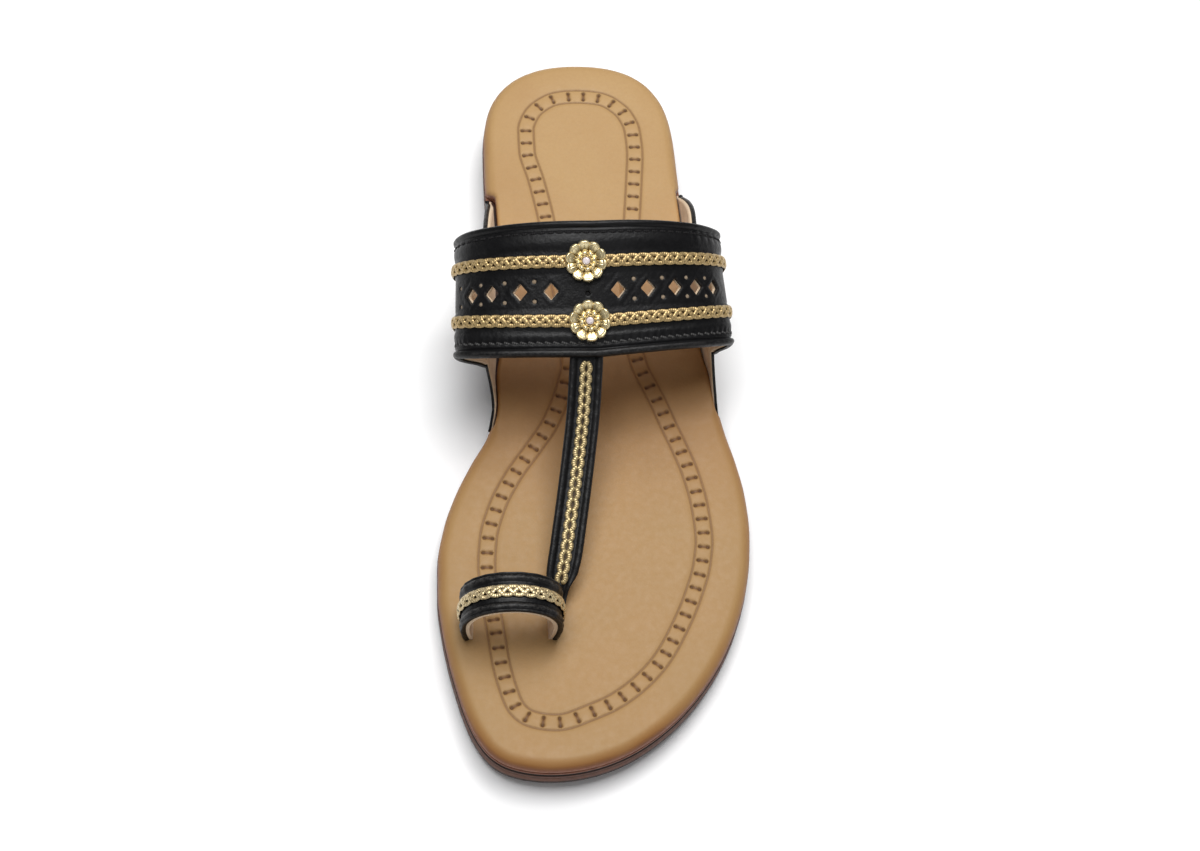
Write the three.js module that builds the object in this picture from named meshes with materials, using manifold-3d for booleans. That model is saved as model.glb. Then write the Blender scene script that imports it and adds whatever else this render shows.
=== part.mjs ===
// Kolhapuri sandal, left foot: flat leather sole with a low stacked heel, an
// instep band on two side ears, a T-strap and a toe loop, with metal braids
// and two rosettes.
// Millimetres. +Z up, toe to -Y, heel to +Y, big toe (medial) side to -X.
// s is the distance from the back of the heel, running forward to the toe.
import * as THREE from 'three';
import Module from 'manifold-3d';

const wasm = await Module();
wasm.setup();

// ---------------------------------------------------------------- sizes
const LENGTH = 252.0;          // footbed, heel to toe
const ORIGIN_S = 124.5;        // station of the frame's origin
const ORIGIN_X = 0.395;        // lateral centre of the sole's box
const GAP = 0.3;               // between pieces that meet

const HEEL_TOP = 20.0;         // footbed surface over the floor at the heel
const BALL_TOP = 12.5;         // and at the ball
const SHANK_START = 55, SHANK_END = 150;
const SPRING_START = 200, SPRING_RUN = 50, SPRING_RISE = 3.0, SPRING_POWER = 1.6;

const FOOTBED_THICK = 4.7, FOOTBED_RIM = 4.0;
const MIDSOLE_TOP = 5.0, MIDSOLE_THICK = 1.2, MIDSOLE_PROUD = 0.0;
const OUTSOLE_TOP = 6.5, STACK = 12.5, OUTSOLE_PROUD = 0.2, OUTSOLE_EDGE = 1.1;
const HEEL_BREAST = 62, HEEL_TAPER = 1.2, BREAST_LEAN = 2.0;

const BAND_WALL = 2.4, EAR_WALL = 2.0, STRAP_WALL = 2.2, LOOP_WALL = 2.6;
const EAR_SET = { medial: 0.1, lateral: -0.5 }, FLANGE = 7.0, FLANGE_THICK = 1.4;
const LAP_OUT = 1.3;           // band's lower end stands this far outside the ear
const BRAID_WIDTH = 4.1, BRAID_THICK = 0.9;
const ROSETTE_R = 6.2, ROSETTE_THICK = 1.0, ROSETTE_PETALS = 9, BEAD_R = 1.6;

// Sole outline: half widths to each side of the axis at stations from the heel.
const OUTLINE = [
  { s: -1.5, medial: 0.1, lateral: 0.1 },
  { s: -1.1, medial: -6.6, lateral: 6.8 },
  { s: 0.2, medial: -12.8, lateral: 12.8 },
  { s: 3, medial: -19.2, lateral: 18.9 },
  { s: 7.9, medial: -25.1, lateral: 24.3 },
  { s: 16, medial: -29.8, lateral: 28.7 },
  { s: 22, medial: -31.3, lateral: 30.2 },
  { s: 30, medial: -32.1, lateral: 31.2 },
  { s: 45, medial: -31.9, lateral: 32.0 },
  { s: 60, medial: -31.1, lateral: 33.1 },
  { s: 75, medial: -30.6, lateral: 34.7 },
  { s: 90, medial: -30.8, lateral: 36.8 },
  { s: 105, medial: -30.7, lateral: 38.7 },
  { s: 117, medial: -30.3, lateral: 39.8 },
  { s: 128, medial: -29.9, lateral: 41.0 },
  { s: 137, medial: -31.6, lateral: 42.8 },
  { s: 148, medial: -37.2, lateral: 45.7 },
  { s: 159, medial: -42.2, lateral: 47.7 },
  { s: 170, medial: -45.7, lateral: 48.4 },
  { s: 181.5, medial: -47.5, lateral: 47.7 },
  { s: 192, medial: -47.5, lateral: 45.8 },
  { s: 203, medial: -46.3, lateral: 42.4 },
  { s: 214, medial: -44.3, lateral: 37.4 },
  { s: 224, medial: -41.8, lateral: 31.1 },
  { s: 232, medial: -39.4, lateral: 24.5 },
  { s: 239, medial: -36.4, lateral: 16.9 },
  { s: 244.5, medial: -32.6, lateral: 8.7 },
  { s: 247.5, medial: -28.7, lateral: 2.1 },
  { s: 249.3, medial: -24.0, lateral: -3.8 },
  { s: 250.2, medial: -19.3, lateral: -9.0 },
  { s: 250.5, medial: -14.2, lateral: -14.2 },
];

// Instep band: the arch at its rear and front edges. top is the station of the
// crown, height its level; wide is the half width, waist the level of it;
// lean is how far an edge runs heelward for each mm it drops, skew for each mm
// that it goes lateral; foot is the level of the band's lower ends.
const BAND = [
  { edge: 'rear', top: 94.6, height: 65.8, wide: 41.5, centre: -0.6, waist: 39.1, lean: 0.38, skew: 0.06, foot: 28.0 },
  { edge: 'front', top: 130.65, height: 45.4, wide: 43.0, centre: 0.8, waist: 33.9, lean: 0.57, skew: 0.12, foot: 24.6 },
];
const BAND_POWER = 2.1;        // roundness of the arch, 2 is an ellipse
const BAND_TURN = 0.76;        // share of the half arch above the waist

// Ears: level of the ear's free edge along the sole, and how far it leans out.
const EAR_MEDIAL = [
  { s: 53.2, top: 15.2 }, { s: 55.2, top: 17.6 }, { s: 58, top: 20.6 }, { s: 62, top: 23.8 },
  { s: 66, top: 26.4 }, { s: 71, top: 28.9 }, { s: 79, top: 31.2 }, { s: 92, top: 31.0 },
  { s: 106, top: 29.6 }, { s: 119, top: 28.4 }, { s: 121.2, top: 27.4 }, { s: 122.6, top: 24.6 }, { s: 124.6, top: 19.8 },
  { s: 128.6, top: 15.4 }, { s: 132.4, top: 13.0 }, { s: 135.6, top: 9.8 },
];
const EAR_LATERAL = [
  { s: 50.4, top: 15.2 }, { s: 52, top: 17.6 }, { s: 54.6, top: 20.8 }, { s: 58.4, top: 24.4 },
  { s: 62.6, top: 27.2 }, { s: 68, top: 29.4 }, { s: 76, top: 31.2 }, { s: 88, top: 31.0 },
  { s: 101, top: 29.6 }, { s: 113.5, top: 28.4 }, { s: 115.6, top: 27.4 }, { s: 117.4, top: 24.8 }, { s: 122.0, top: 18.4 },
  { s: 126.0, top: 13.6 }, { s: 130.6, top: 9.8 },
];
// Outward lean of an ear for each mm of height, at its rear and its front.
const EAR_LEAN = [
  { s: 55, medial: 0.2, lateral: 0.14 },
  { s: 125, medial: 0.2, lateral: -0.08 },
];

// T-strap: centreline of the strap from under the band down to its slot.
const STRAP = [
  { s: 119.0, x: -2.0, z: 48.9, width: 10.2 },
  { s: 130.6, x: -2.6, z: 42.2, width: 10.2 },
  { s: 137.0, x: -3.0, z: 38.7, width: 10.2 },
  { s: 144.5, x: -3.6, z: 35.0, width: 10.2 },
  { s: 155.0, x: -4.9, z: 30.7, width: 10.2 },
  { s: 165.0, x: -6.3, z: 27.1, width: 10.2 },
  { s: 175.0, x: -7.8, z: 23.9, width: 10.2 },
  { s: 184.5, x: -9.3, z: 21.1, width: 10.2 },
  { s: 190.0, x: -10.4, z: 19.2, width: 9.6 },
  { s: 194.6, x: -11.3, z: 17.2, width: 5.8 },
  { s: 198.4, x: -11.4, z: 15.0, width: 4.0 },
  { s: 201.6, x: -11.6, z: 12.4, width: 3.7 },
  { s: 203.2, x: -11.8, z: 8.3, width: 3.6 },
];
const STRAP_BRAID_FROM = 131.8, STRAP_BRAID_TO = 192.2;

// Toe loop: an upright arch across the big toe, its ends let into the footbed.
const LOOP = { s: 203.6, width: 12.6, centre: -25.9, wide: 14.9, waist: 22.0, top: 35.2, tuck: 1.6, power: 2.1 };

// Diamond cut-outs and the two rosettes on the band: across is 0 at the rear
// edge and 1 at the front edge, x the lateral place.
const DIAMOND_ACROSS = 0.515, DIAMOND_LONG = 5.6, DIAMOND_WIDE = 5.0;
const DIAMOND_X = [-37.4, -31.3, -22.8, -13.4, 7.2, 16.4, 25.0, 31.8, 37.6];
const BRAID_ACROSS = { rear: 0.30, front: 0.735 }, BRAID_BOW = 0.03;
const ROSETTES = [
  { name: 'rosette_rear', across: 0.30, x: -2.8 },
  { name: 'rosette_front', across: 0.735, x: -1.7 },
];

// ---------------------------------------------------------------- curves
// Monotone cubic through the rows, of column col against column key.
function curve(rows, key, col) {
  const k = rows.map((r) => r[key]), v = rows.map((r) => r[col]), n = k.length;
  const d = [], m = new Array(n).fill(0);
  for (let i = 0; i < n - 1; i++) d.push((v[i + 1] - v[i]) / (k[i + 1] - k[i]));
  m[0] = d[0];
  m[n - 1] = d[n - 2];
  for (let i = 1; i < n - 1; i++) {
    if (d[i - 1] * d[i] <= 0) continue;
    const h0 = k[i] - k[i - 1], h1 = k[i + 1] - k[i];
    const w0 = 2 * h1 + h0, w1 = h1 + 2 * h0;
    m[i] = (w0 + w1) / (w0 / d[i - 1] + w1 / d[i]);
  }
  return (q) => {
    let i = 0;
    while (i < n - 2 && q > k[i + 1]) i++;
    const h = k[i + 1] - k[i], u = (q - k[i]) / h;
    const u2 = u * u, u3 = u2 * u;
    return v[i] * (2 * u3 - 3 * u2 + 1) + m[i] * h * (u3 - 2 * u2 + u)
      + v[i + 1] * (3 * u2 - 2 * u3) + m[i + 1] * h * (u3 - u2);
  };
}
const clamp = (v, a, b) => Math.min(b, Math.max(a, v));
const smooth = (v) => { const u = clamp(v, 0, 1); return u * u * (3 - 2 * u); };

// Level of the footbed's surface along the shoe.
function topLevel(s) {
  const shank = (HEEL_TOP - BALL_TOP) * smooth((s - SHANK_START) / (SHANK_END - SHANK_START));
  const spring = SPRING_RISE * Math.pow(clamp((s - SPRING_START) / SPRING_RUN, 0, 1.2), SPRING_POWER);
  return HEEL_TOP - shank + spring;
}

// The outline is worked against the angle of a half turn from heel to toe, so
// that both ends close round.
const HEEL_END = OUTLINE[0].s;
const angleOf = (s) => Math.acos(clamp(1 - 2 * (s - HEEL_END) / LENGTH, -1, 1));
const stationOf = (a) => HEEL_END + LENGTH * (1 - Math.cos(a)) / 2;
const OUTLINE_A = OUTLINE.map((r) => ({ ...r, a: angleOf(r.s) }));
const sideOf = { medial: curve(OUTLINE_A, 'a', 'medial'), lateral: curve(OUTLINE_A, 'a', 'lateral') };
const outlineX = (side, s) => sideOf[side](angleOf(s));

const place = (x, s, z) => [x - ORIGIN_X, ORIGIN_S - s, z];

// ---------------------------------------------------------------- solids
function solid(points, tris) {
  let vol = 0;
  const v = points;
  for (const [a, b, c] of tris) {
    vol += v[a][0] * (v[b][1] * v[c][2] - v[b][2] * v[c][1])
      - v[a][1] * (v[b][0] * v[c][2] - v[b][2] * v[c][0])
      + v[a][2] * (v[b][0] * v[c][1] - v[b][1] * v[c][0]);
  }
  const order = vol > 0 ? tris : tris.map(([a, b, c]) => [a, c, b]);
  return new wasm.Manifold(new wasm.Mesh({
    numProp: 3,
    vertProperties: new Float32Array(points.flat()),
    triVerts: new Uint32Array(order.flat()),
  }));
}

// Rings of equal length stacked into a solid; the end rings are closed by
// strips between vertex i and vertex n - i, across the shoe.
function loft(rings) {
  const n = rings[0].length, points = rings.flat(), tris = [];
  for (let r = 0; r + 1 < rings.length; r++) {
    for (let i = 0; i < n; i++) {
      const a = r * n + i, b = r * n + (i + 1) % n;
      tris.push([a, b, b + n], [a, b + n, a + n]);
    }
  }
  capRows(rings[0].length, 0, true, tris);
  capRows(rings[0].length, (rings.length - 1) * n, false, tris);
  return solid(points, tris);
}
function capRows(n, base, flip, tris) {
  const put = (a, b, c) => tris.push(flip ? [base + a, base + c, base + b] : [base + a, base + b, base + c]);
  const mate = (i) => (n - i) % n;
  const half = Math.floor(n / 2);
  put(0, 1, mate(1));
  for (let i = 1; i < half - (n % 2 ? 0 : 1); i++) {
    put(i, i + 1, mate(i + 1));
    put(i, mate(i + 1), mate(i));
  }
  if (n % 2 === 0) put(half - 1, half, mate(half - 1));
}

// A sheet with thickness: at(i, j, side) gives a point of the grid on its
// inner (0) and outer (1) face.
function sheet(nu, nv, at) {
  const points = [], tris = [];
  const id = (i, j, k) => (k * (nu + 1) + i) * (nv + 1) + j;
  for (let k = 0; k < 2; k++) for (let i = 0; i <= nu; i++) for (let j = 0; j <= nv; j++) points.push(at(i, j, k));
  const quad = (a, b, c, d) => tris.push([a, b, c], [a, c, d]);
  for (let i = 0; i < nu; i++) for (let j = 0; j < nv; j++) {
    quad(id(i, j, 1), id(i + 1, j, 1), id(i + 1, j + 1, 1), id(i, j + 1, 1));
    quad(id(i, j, 0), id(i, j + 1, 0), id(i + 1, j + 1, 0), id(i + 1, j, 0));
  }
  for (let i = 0; i < nu; i++) {
    quad(id(i, 0, 0), id(i + 1, 0, 0), id(i + 1, 0, 1), id(i, 0, 1));
    quad(id(i, nv, 0), id(i, nv, 1), id(i + 1, nv, 1), id(i + 1, nv, 0));
  }
  for (let j = 0; j < nv; j++) {
    quad(id(0, j, 0), id(0, j, 1), id(0, j + 1, 1), id(0, j + 1, 0));
    quad(id(nu, j, 0), id(nu, j + 1, 0), id(nu, j + 1, 1), id(nu, j, 1));
  }
  return solid(points, tris);
}

function mesh(name, body, colour, roughness, metalness) {
  const m = body.getMesh();
  const position = new Float32Array(m.numVert * 3);
  for (let i = 0; i < m.numVert; i++) for (let c = 0; c < 3; c++) position[3 * i + c] = m.vertProperties[i * m.numProp + c];
  const g = new THREE.BufferGeometry();
  g.setAttribute('position', new THREE.BufferAttribute(position, 3));
  g.setIndex(Array.from(m.triVerts));
  g.computeVertexNormals();
  const out = new THREE.Mesh(g, new THREE.MeshStandardMaterial({ color: colour, roughness, metalness }));
  out.name = name;
  return out;
}

// ---------------------------------------------------------------- sole
// Rows lie closer together at the heel and toe, where the outline turns.
const ROWS = 46, ROW_BUNCH = 0.5;
const loopPoints = [];
for (let i = 0; i < 2 * ROWS; i++) {
  const u = (i <= ROWS ? i : 2 * ROWS - i) / ROWS;
  const a = Math.PI * u - ROW_BUNCH / 2 * Math.sin(2 * Math.PI * u);
  loopPoints.push({ s: stationOf(a), x: sideOf[i <= ROWS ? 'lateral' : 'medial'](a) });
}
loopPoints.forEach((p, i) => {
  const n = loopPoints.length, a = loopPoints[(i + n - 1) % n], b = loopPoints[(i + 1) % n];
  const dx = b.x - a.x, ds = b.s - a.s, l = Math.hypot(dx, ds);
  p.nx = ds / l;
  p.ns = -dx / l;
});
// Ring of the outline moved out by proud, at the level that level(s) gives.
const ring = (proud, level) => loopPoints.map((p) => {
  const s = p.s + p.ns * proud;
  return place(p.x + p.nx * proud, s, level(s));
});
const below = (depth) => (s) => topLevel(s) - depth;

const rimRings = [];
for (let i = 0; i <= 4; i++) {
  const a = Math.PI / 2 * (1 - i / 4);
  rimRings.push(ring(-FOOTBED_RIM * (1 - Math.sin(a)), below(FOOTBED_RIM * (1 - Math.cos(a)))));
}
let footbed = loft([ring(-0.3, below(FOOTBED_THICK)), ...rimRings]);

const midsole = loft([
  ring(MIDSOLE_PROUD, below(MIDSOLE_TOP + MIDSOLE_THICK)),
  ring(MIDSOLE_PROUD, below(MIDSOLE_TOP)),
]);

const outsole = loft([
  ring(OUTSOLE_PROUD - OUTSOLE_EDGE, below(STACK)),
  ring(OUTSOLE_PROUD - 0.3 * OUTSOLE_EDGE, below(STACK - 0.3 * OUTSOLE_EDGE)),
  ring(OUTSOLE_PROUD, below(STACK - OUTSOLE_EDGE)),
  ring(OUTSOLE_PROUD, below(OUTSOLE_TOP + 0.6)),
  ring(OUTSOLE_PROUD - 0.5, below(OUTSOLE_TOP)),
]);

// Heel lift: the back of the same outline down to the floor, with a breast
// that is a little hollow and leans back toward its foot.
function heelLift() {
  const n = 16, last = angleOf(HEEL_BREAST);
  const rows = [];
  const normal = (side, a) => {
    const e = 1e-3, x = sideOf[side](a + e) - sideOf[side](Math.max(a - e, 0));
    const s = stationOf(a + e) - stationOf(Math.max(a - e, 0)), l = Math.hypot(x, s);
    return side === 'lateral' ? [s / l, -x / l] : [-s / l, x / l];
  };
  const at = (side, i, proud, z, back) => {
    const a = last * i / n;
    let [nx, ns] = i === 0 ? [0, -1] : normal(side, a);
    const shift = back * Math.pow(i / n, 6);
    const s = stationOf(a) + ns * proud - shift;
    return place(sideOf[side](a) + nx * proud, s, z(s));
  };
  for (const [proud, z, back] of [
    [OUTSOLE_PROUD - HEEL_TAPER - 0.6, () => 0, BREAST_LEAN],
    [OUTSOLE_PROUD - HEEL_TAPER, () => 0.6, BREAST_LEAN],
    [OUTSOLE_PROUD - 0.2, (s) => topLevel(s) - STACK - GAP, 0],
  ]) {
    const r = [];
    for (let i = 0; i <= n; i++) r.push(at('lateral', i, proud, z, back));
    const [bl, bm] = [r[n], at('medial', n, proud, z, back)];
    const curveIn = 3.0;
    const mids = [];
    for (let k = 1; k < 6; k++) {
      const u = k / 6, x = bl[0] + (bm[0] - bl[0]) * u;
      const s = ORIGIN_S - (bl[1] + (bm[1] - bl[1]) * u) - curveIn * 4 * u * (1 - u);
      mids.push(place(x + ORIGIN_X, s, z(s)));
    }
    const m = [];
    for (let i = n; i >= 1; i--) m.push(at('medial', i, proud, z, back));
    rows.push([...r, ...mids, ...m]);
  }
  return rows;
}
const heelRows = heelLift();
const heel = loft(heelRows);

// ---------------------------------------------------------------- upper
// Edge of the band: q runs from -1 at its medial end over the crown to 1.
function bandEdge(row, q) {
  const side = q < 0 ? 'medial' : 'lateral', sign = q < 0 ? -1 : 1, u = Math.abs(q);
  const power = 2 / BAND_POWER;
  const drop = (x, z) => row.top - row.lean * (row.height - z) - row.skew * Math.max(x - row.centre, 0);
  if (u <= BAND_TURN) {
    const a = Math.PI / 2 * u / BAND_TURN;
    const x = row.centre + sign * row.wide * Math.pow(Math.sin(a), power);
    const z = row.waist + (row.height - row.waist) * Math.pow(Math.cos(a), power);
    return new THREE.Vector3(x, drop(x, z), z);
  }
  // below the waist the band turns in and lies down along the ear
  const v = (u - BAND_TURN) / (1 - BAND_TURN);
  const x0 = row.centre + sign * row.wide, z0 = row.waist, s0 = drop(x0, z0);
  const fall = row.waist - row.foot, s1 = s0 - 0.2 * fall, z1 = row.foot;
  const x1 = earX(side, s1, z1, LAP_OUT);
  const lean = sign * earLean(side, s1);
  const p = [
    new THREE.Vector3(x0, s0, z0),
    new THREE.Vector3(x0, s0 - 0.1 * fall, z0 - 0.55 * fall),
    new THREE.Vector3(x1 + lean * 0.4 * fall, s1 + 0.1 * fall, z1 + 0.4 * fall),
    new THREE.Vector3(x1, s1, z1),
  ];
  return new THREE.CubicBezierCurve3(...p).getPoint(v);
}
// Outer face of an ear at a station and level, moved out by extra.
const earLean = (side, s) => {
  const [rear, front] = EAR_LEAN;
  return rear[side] + (front[side] - rear[side]) * clamp((s - rear.s) / (front.s - rear.s), 0, 1);
};
function earX(side, s, z, extra) {
  const sign = side === 'medial' ? -1 : 1;
  return outlineX(side, s) + sign * (EAR_SET[side] + extra + earLean(side, s) * Math.max(z - topLevel(s), 0));
}
function bandPoint(t, q) {
  return bandEdge(BAND[0], q).lerp(bandEdge(BAND[1], q), t);
}
function bandNormal(t, q) {
  const e = 1e-3, a = clamp(q, -1 + e, 1 - e);
  const du = bandPoint(t, a + e).sub(bandPoint(t, a - e));
  const dt = bandEdge(BAND[1], a).sub(bandEdge(BAND[0], a));
  const n = du.cross(dt).normalize();
  return n;
}
// A point of the band in the shoe's frame, out from its face by off.
function onBand(t, q, off) {
  const p = bandPoint(t, q).addScaledVector(bandNormal(t, q), off * BAND_SIGN);
  return place(p.x, p.y, p.z);
}
const BAND_SIGN = bandNormal(0.5, 0).z > 0 ? 1 : -1;
// Share of the arch at which the band's face has the lateral place x.
function archAt(t, x) {
  let lo = -BAND_TURN, hi = BAND_TURN;
  for (let i = 0; i < 40; i++) {
    const mid = (lo + hi) / 2;
    if (bandPoint(t, mid).x < x) lo = mid; else hi = mid;
  }
  return (lo + hi) / 2;
}
// Stations round the arch, closer where it turns.
const ARCH_STEPS = 36;
const archStep = (i) => {
  const u = 2 * i / ARCH_STEPS - 1;
  return Math.sign(u) * Math.pow(Math.abs(u), 0.9);
};
const band = sheet(ARCH_STEPS, 4, (i, j, k) => onBand(j / 4, archStep(i), k ? 0 : -BAND_WALL));

// An ear: a wall that stands on a flange, and the flange goes in under the
// footbed. grow makes the room that the footbed leaves for it.
function ear(side, rows, grow) {
  const sign = side === 'medial' ? -1 : 1;
  const level = curve(rows, 's', 'top');
  const from = rows[0].s - grow, to = rows[rows.length - 1].s + grow, n = 34;
  const rings = [];
  const stations = [];
  for (let i = 0; i <= n; i++) stations.push(from + (to - from) * i / n);
  for (const r of rows.slice(1, -1)) if (!stations.some((v) => Math.abs(v - r.s) < 1.2)) stations.push(r.s);
  stations.sort((a, b) => a - b);
  for (const s of stations) {
    const q = clamp(s, rows[0].s, rows[rows.length - 1].s);
    const foot = topLevel(s) - MIDSOLE_TOP + GAP - (grow ? 1 : 0);
    const shelf = topLevel(s) - MIDSOLE_TOP + GAP + FLANGE_THICK + grow;
    const top = Math.max(grow ? topLevel(s) + 8 : level(q), shelf + 0.5);
    const x = (z, out) => earX(side, s, z, out);
    const bend = topLevel(s);
    const loop = [
      [x(foot, grow ? 4 : 0), foot], [x(bend, grow ? 4 : 0), Math.min(bend, top - 0.2)], [x(top, grow ? 4 : 0), top],
      [x(top, -EAR_WALL - grow), top], [x(bend, -EAR_WALL - grow), Math.min(bend, top - 0.1)], [x(shelf, -EAR_WALL - grow), shelf],
      [x(shelf, -FLANGE - grow), shelf], [x(foot, -FLANGE - grow), foot],
    ];
    rings.push(loop.map(([px, pz]) => place(px, s, pz)));
  }
  const m = rings[0].length, points = rings.flat(), tris = [];
  for (let r = 0; r + 1 < rings.length; r++) for (let i = 0; i < m; i++) {
    const a = r * m + i, b = r * m + (i + 1) % m;
    tris.push([a, b, b + m], [a, b + m, a + m]);
  }
  const end = (base, flip) => {
    for (const [a, b, c] of [[0, 1, 5], [1, 4, 5], [1, 2, 4], [2, 3, 4], [0, 5, 7], [5, 6, 7]]) {
      tris.push(flip ? [base + a, base + c, base + b] : [base + a, base + b, base + c]);
    }
  };
  end(0, true);
  end((rings.length - 1) * m, false);
  return solid(points, tris);
}

// T-strap: a flat section swept down its centreline.
const strapRun = STRAP.map((r, i) => ({ ...r, i }));
const strapX = curve(strapRun, 'i', 'x'), strapS = curve(strapRun, 'i', 's');
const strapZ = curve(strapRun, 'i', 'z'), strapW = curve(strapRun, 'i', 'width');
const STRAP_END = STRAP.length - 1;
// u along the rows, across from -1 to 1, off out from the strap's middle.
function onStrap(u, across, off, width) {
  const e = 0.02, a = clamp(u, e, STRAP_END - e);
  const ds = strapS(a + e) - strapS(a - e), dz = strapZ(a + e) - strapZ(a - e), l = Math.hypot(ds, dz);
  const w = width === undefined ? strapW(u) : width;
  return place(strapX(u) + across * w / 2, strapS(u) - dz / l * off, strapZ(u) + ds / l * off);
}
const strapStep = (s) => {
  let lo = 0, hi = STRAP_END;
  for (let i = 0; i < 40; i++) { const mid = (lo + hi) / 2; if (strapS(mid) < s) lo = mid; else hi = mid; }
  return (lo + hi) / 2;
};
const strap = (grow) => sheet(24, 1, (i, j, k) => {
  const u = STRAP_END * i / 24;
  const p = onStrap(u, 2 * j - 1, (k ? 1 : -1) * (STRAP_WALL / 2 + 1.6 * grow), strapW(u) + 2 * grow);
  return i === 24 ? [p[0], p[1], p[2] - (grow ? 1.2 : 0)] : p;
});

// Toe loop: q from -1 at the medial foot over the top to 1 at the lateral foot.
const LOOP_TURN = 0.66;
function loopPoint(q, off) {
  const u = Math.abs(q), sign = q < 0 ? -1 : 1, p = 2 / LOOP.power;
  const foot = topLevel(LOOP.s) - MIDSOLE_TOP + GAP + 0.1;
  if (u <= LOOP_TURN) {
    const a = Math.PI / 2 * u / LOOP_TURN;
    return [LOOP.centre + sign * (LOOP.wide + off) * Math.pow(Math.sin(a), p),
      LOOP.waist + (LOOP.top - LOOP.waist + off) * Math.pow(Math.cos(a), p)];
  }
  const v = (u - LOOP_TURN) / (1 - LOOP_TURN);
  return [LOOP.centre + sign * (LOOP.wide + off - LOOP.tuck * smooth(v)), LOOP.waist + (foot - LOOP.waist) * v];
}
const onLoop = (q, along, off, width = LOOP.width) => {
  const [x, z] = loopPoint(q, off);
  return place(x, LOOP.s + along * width / 2, z);
};
const loopSolid = (grow) => sheet(28, 1, (i, j, k) => {
  const p = onLoop(2 * i / 28 - 1, 2 * j - 1, k ? grow : -LOOP_WALL - grow, LOOP.width + 2 * grow);
  return i === 0 || i === 28 ? [p[0], p[1], p[2] - (grow ? 1 : 0)] : p;
});

// A diamond prism through the band at the lateral place x.
function diamond(x) {
  const t = DIAMOND_ACROSS, q = archAt(t, x), e = 1e-3;
  const c = bandPoint(t, q), n = bandNormal(t, q).multiplyScalar(BAND_SIGN);
  const round = bandPoint(t, q + e).sub(bandPoint(t, q - e)).normalize();
  const across = n.clone().cross(round).normalize();
  const corner = (dx, dy, off) => {
    const p = c.clone().addScaledVector(round, dx).addScaledVector(across, dy).addScaledVector(n, off);
    return place(p.x, p.y, p.z);
  };
  const ringAt = (off) => [[DIAMOND_WIDE / 2, 0], [0, DIAMOND_LONG / 2], [-DIAMOND_WIDE / 2, 0], [0, -DIAMOND_LONG / 2]]
    .map(([a, b]) => corner(a, b, off));
  return loft([ringAt(-BAND_WALL - 1.5), ringAt(1.5)]);
}

let upper = band
  .add(ear('medial', EAR_MEDIAL, 0))
  .add(ear('lateral', EAR_LATERAL, 0))
  .add(strap(0))
  .add(loopSolid(0));
for (const x of DIAMOND_X) upper = upper.subtract(diamond(x));

footbed = footbed
  .subtract(ear('medial', EAR_MEDIAL, GAP))
  .subtract(ear('lateral', EAR_LATERAL, GAP))
  .subtract(strap(GAP))
  .subtract(loopSolid(GAP));

// ---------------------------------------------------------------- trim
const half = BRAID_WIDTH / 2;
function bandBraid(across) {
  const run = bandPoint(1, 0).distanceTo(bandPoint(0, 0));
  const dt = half / run;
  return sheet(ARCH_STEPS - 6, 1, (i, j, k) => {
    const q = archStep(i + 3);
    return onBand(across - BRAID_BOW * (q / BAND_TURN) ** 2 + (2 * j - 1) * dt, q, GAP + (k ? BRAID_THICK : 0));
  });
}
const braidRear = bandBraid(BRAID_ACROSS.rear);
const braidFront = bandBraid(BRAID_ACROSS.front);
const u0 = strapStep(STRAP_BRAID_FROM), u1 = strapStep(STRAP_BRAID_TO);
const braidStrap = sheet(16, 1, (i, j, k) => onStrap(u0 + (u1 - u0) * i / 16, 2 * j - 1, STRAP_WALL / 2 + GAP + (k ? BRAID_THICK : 0), BRAID_WIDTH));
const braidLoop = sheet(24, 1, (i, j, k) => onLoop((2 * i / 24 - 1) * 0.8, 2 * j - 1, GAP + (k ? BRAID_THICK : 0), BRAID_WIDTH));

// Rosette: a scalloped disc with a bead, laid on the band over the braid.
function rosette({ across, x }) {
  const q = archAt(across, x), e = 1e-3;
  const c = bandPoint(across, q), n = bandNormal(across, q).multiplyScalar(BAND_SIGN);
  const round = bandPoint(across, q + e).sub(bandPoint(across, q - e)).normalize();
  const side = n.clone().cross(round).normalize();
  const lift = 2 * GAP + BRAID_THICK + 0.25;
  const steps = ROSETTE_PETALS * 6;
  const edge = (a, shrink) => (ROSETTE_R - shrink) * (0.9 + 0.1 * Math.abs(Math.cos(ROSETTE_PETALS * a / 2)));
  const rings = [[0, 0], [0.1, 0.45], [2.6, ROSETTE_THICK + 0.25], [ROSETTE_R - BEAD_R, ROSETTE_THICK], [ROSETTE_R - 0.8 * BEAD_R, ROSETTE_THICK + 0.9], [ROSETTE_R - 0.35 * BEAD_R, ROSETTE_THICK + 1.35]]
    .map(([shrink, up]) => {
      const r = [];
      for (let i = 0; i < steps; i++) {
        const a = 2 * Math.PI * i / steps;
        const w = shrink > 3 ? ROSETTE_R - shrink : edge(a, shrink);
        const p = c.clone().addScaledVector(round, w * Math.cos(a)).addScaledVector(side, w * Math.sin(a)).addScaledVector(n, lift + up);
        r.push(place(p.x, p.y, p.z));
      }
      return r;
    });
  return loft(rings);
}

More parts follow.
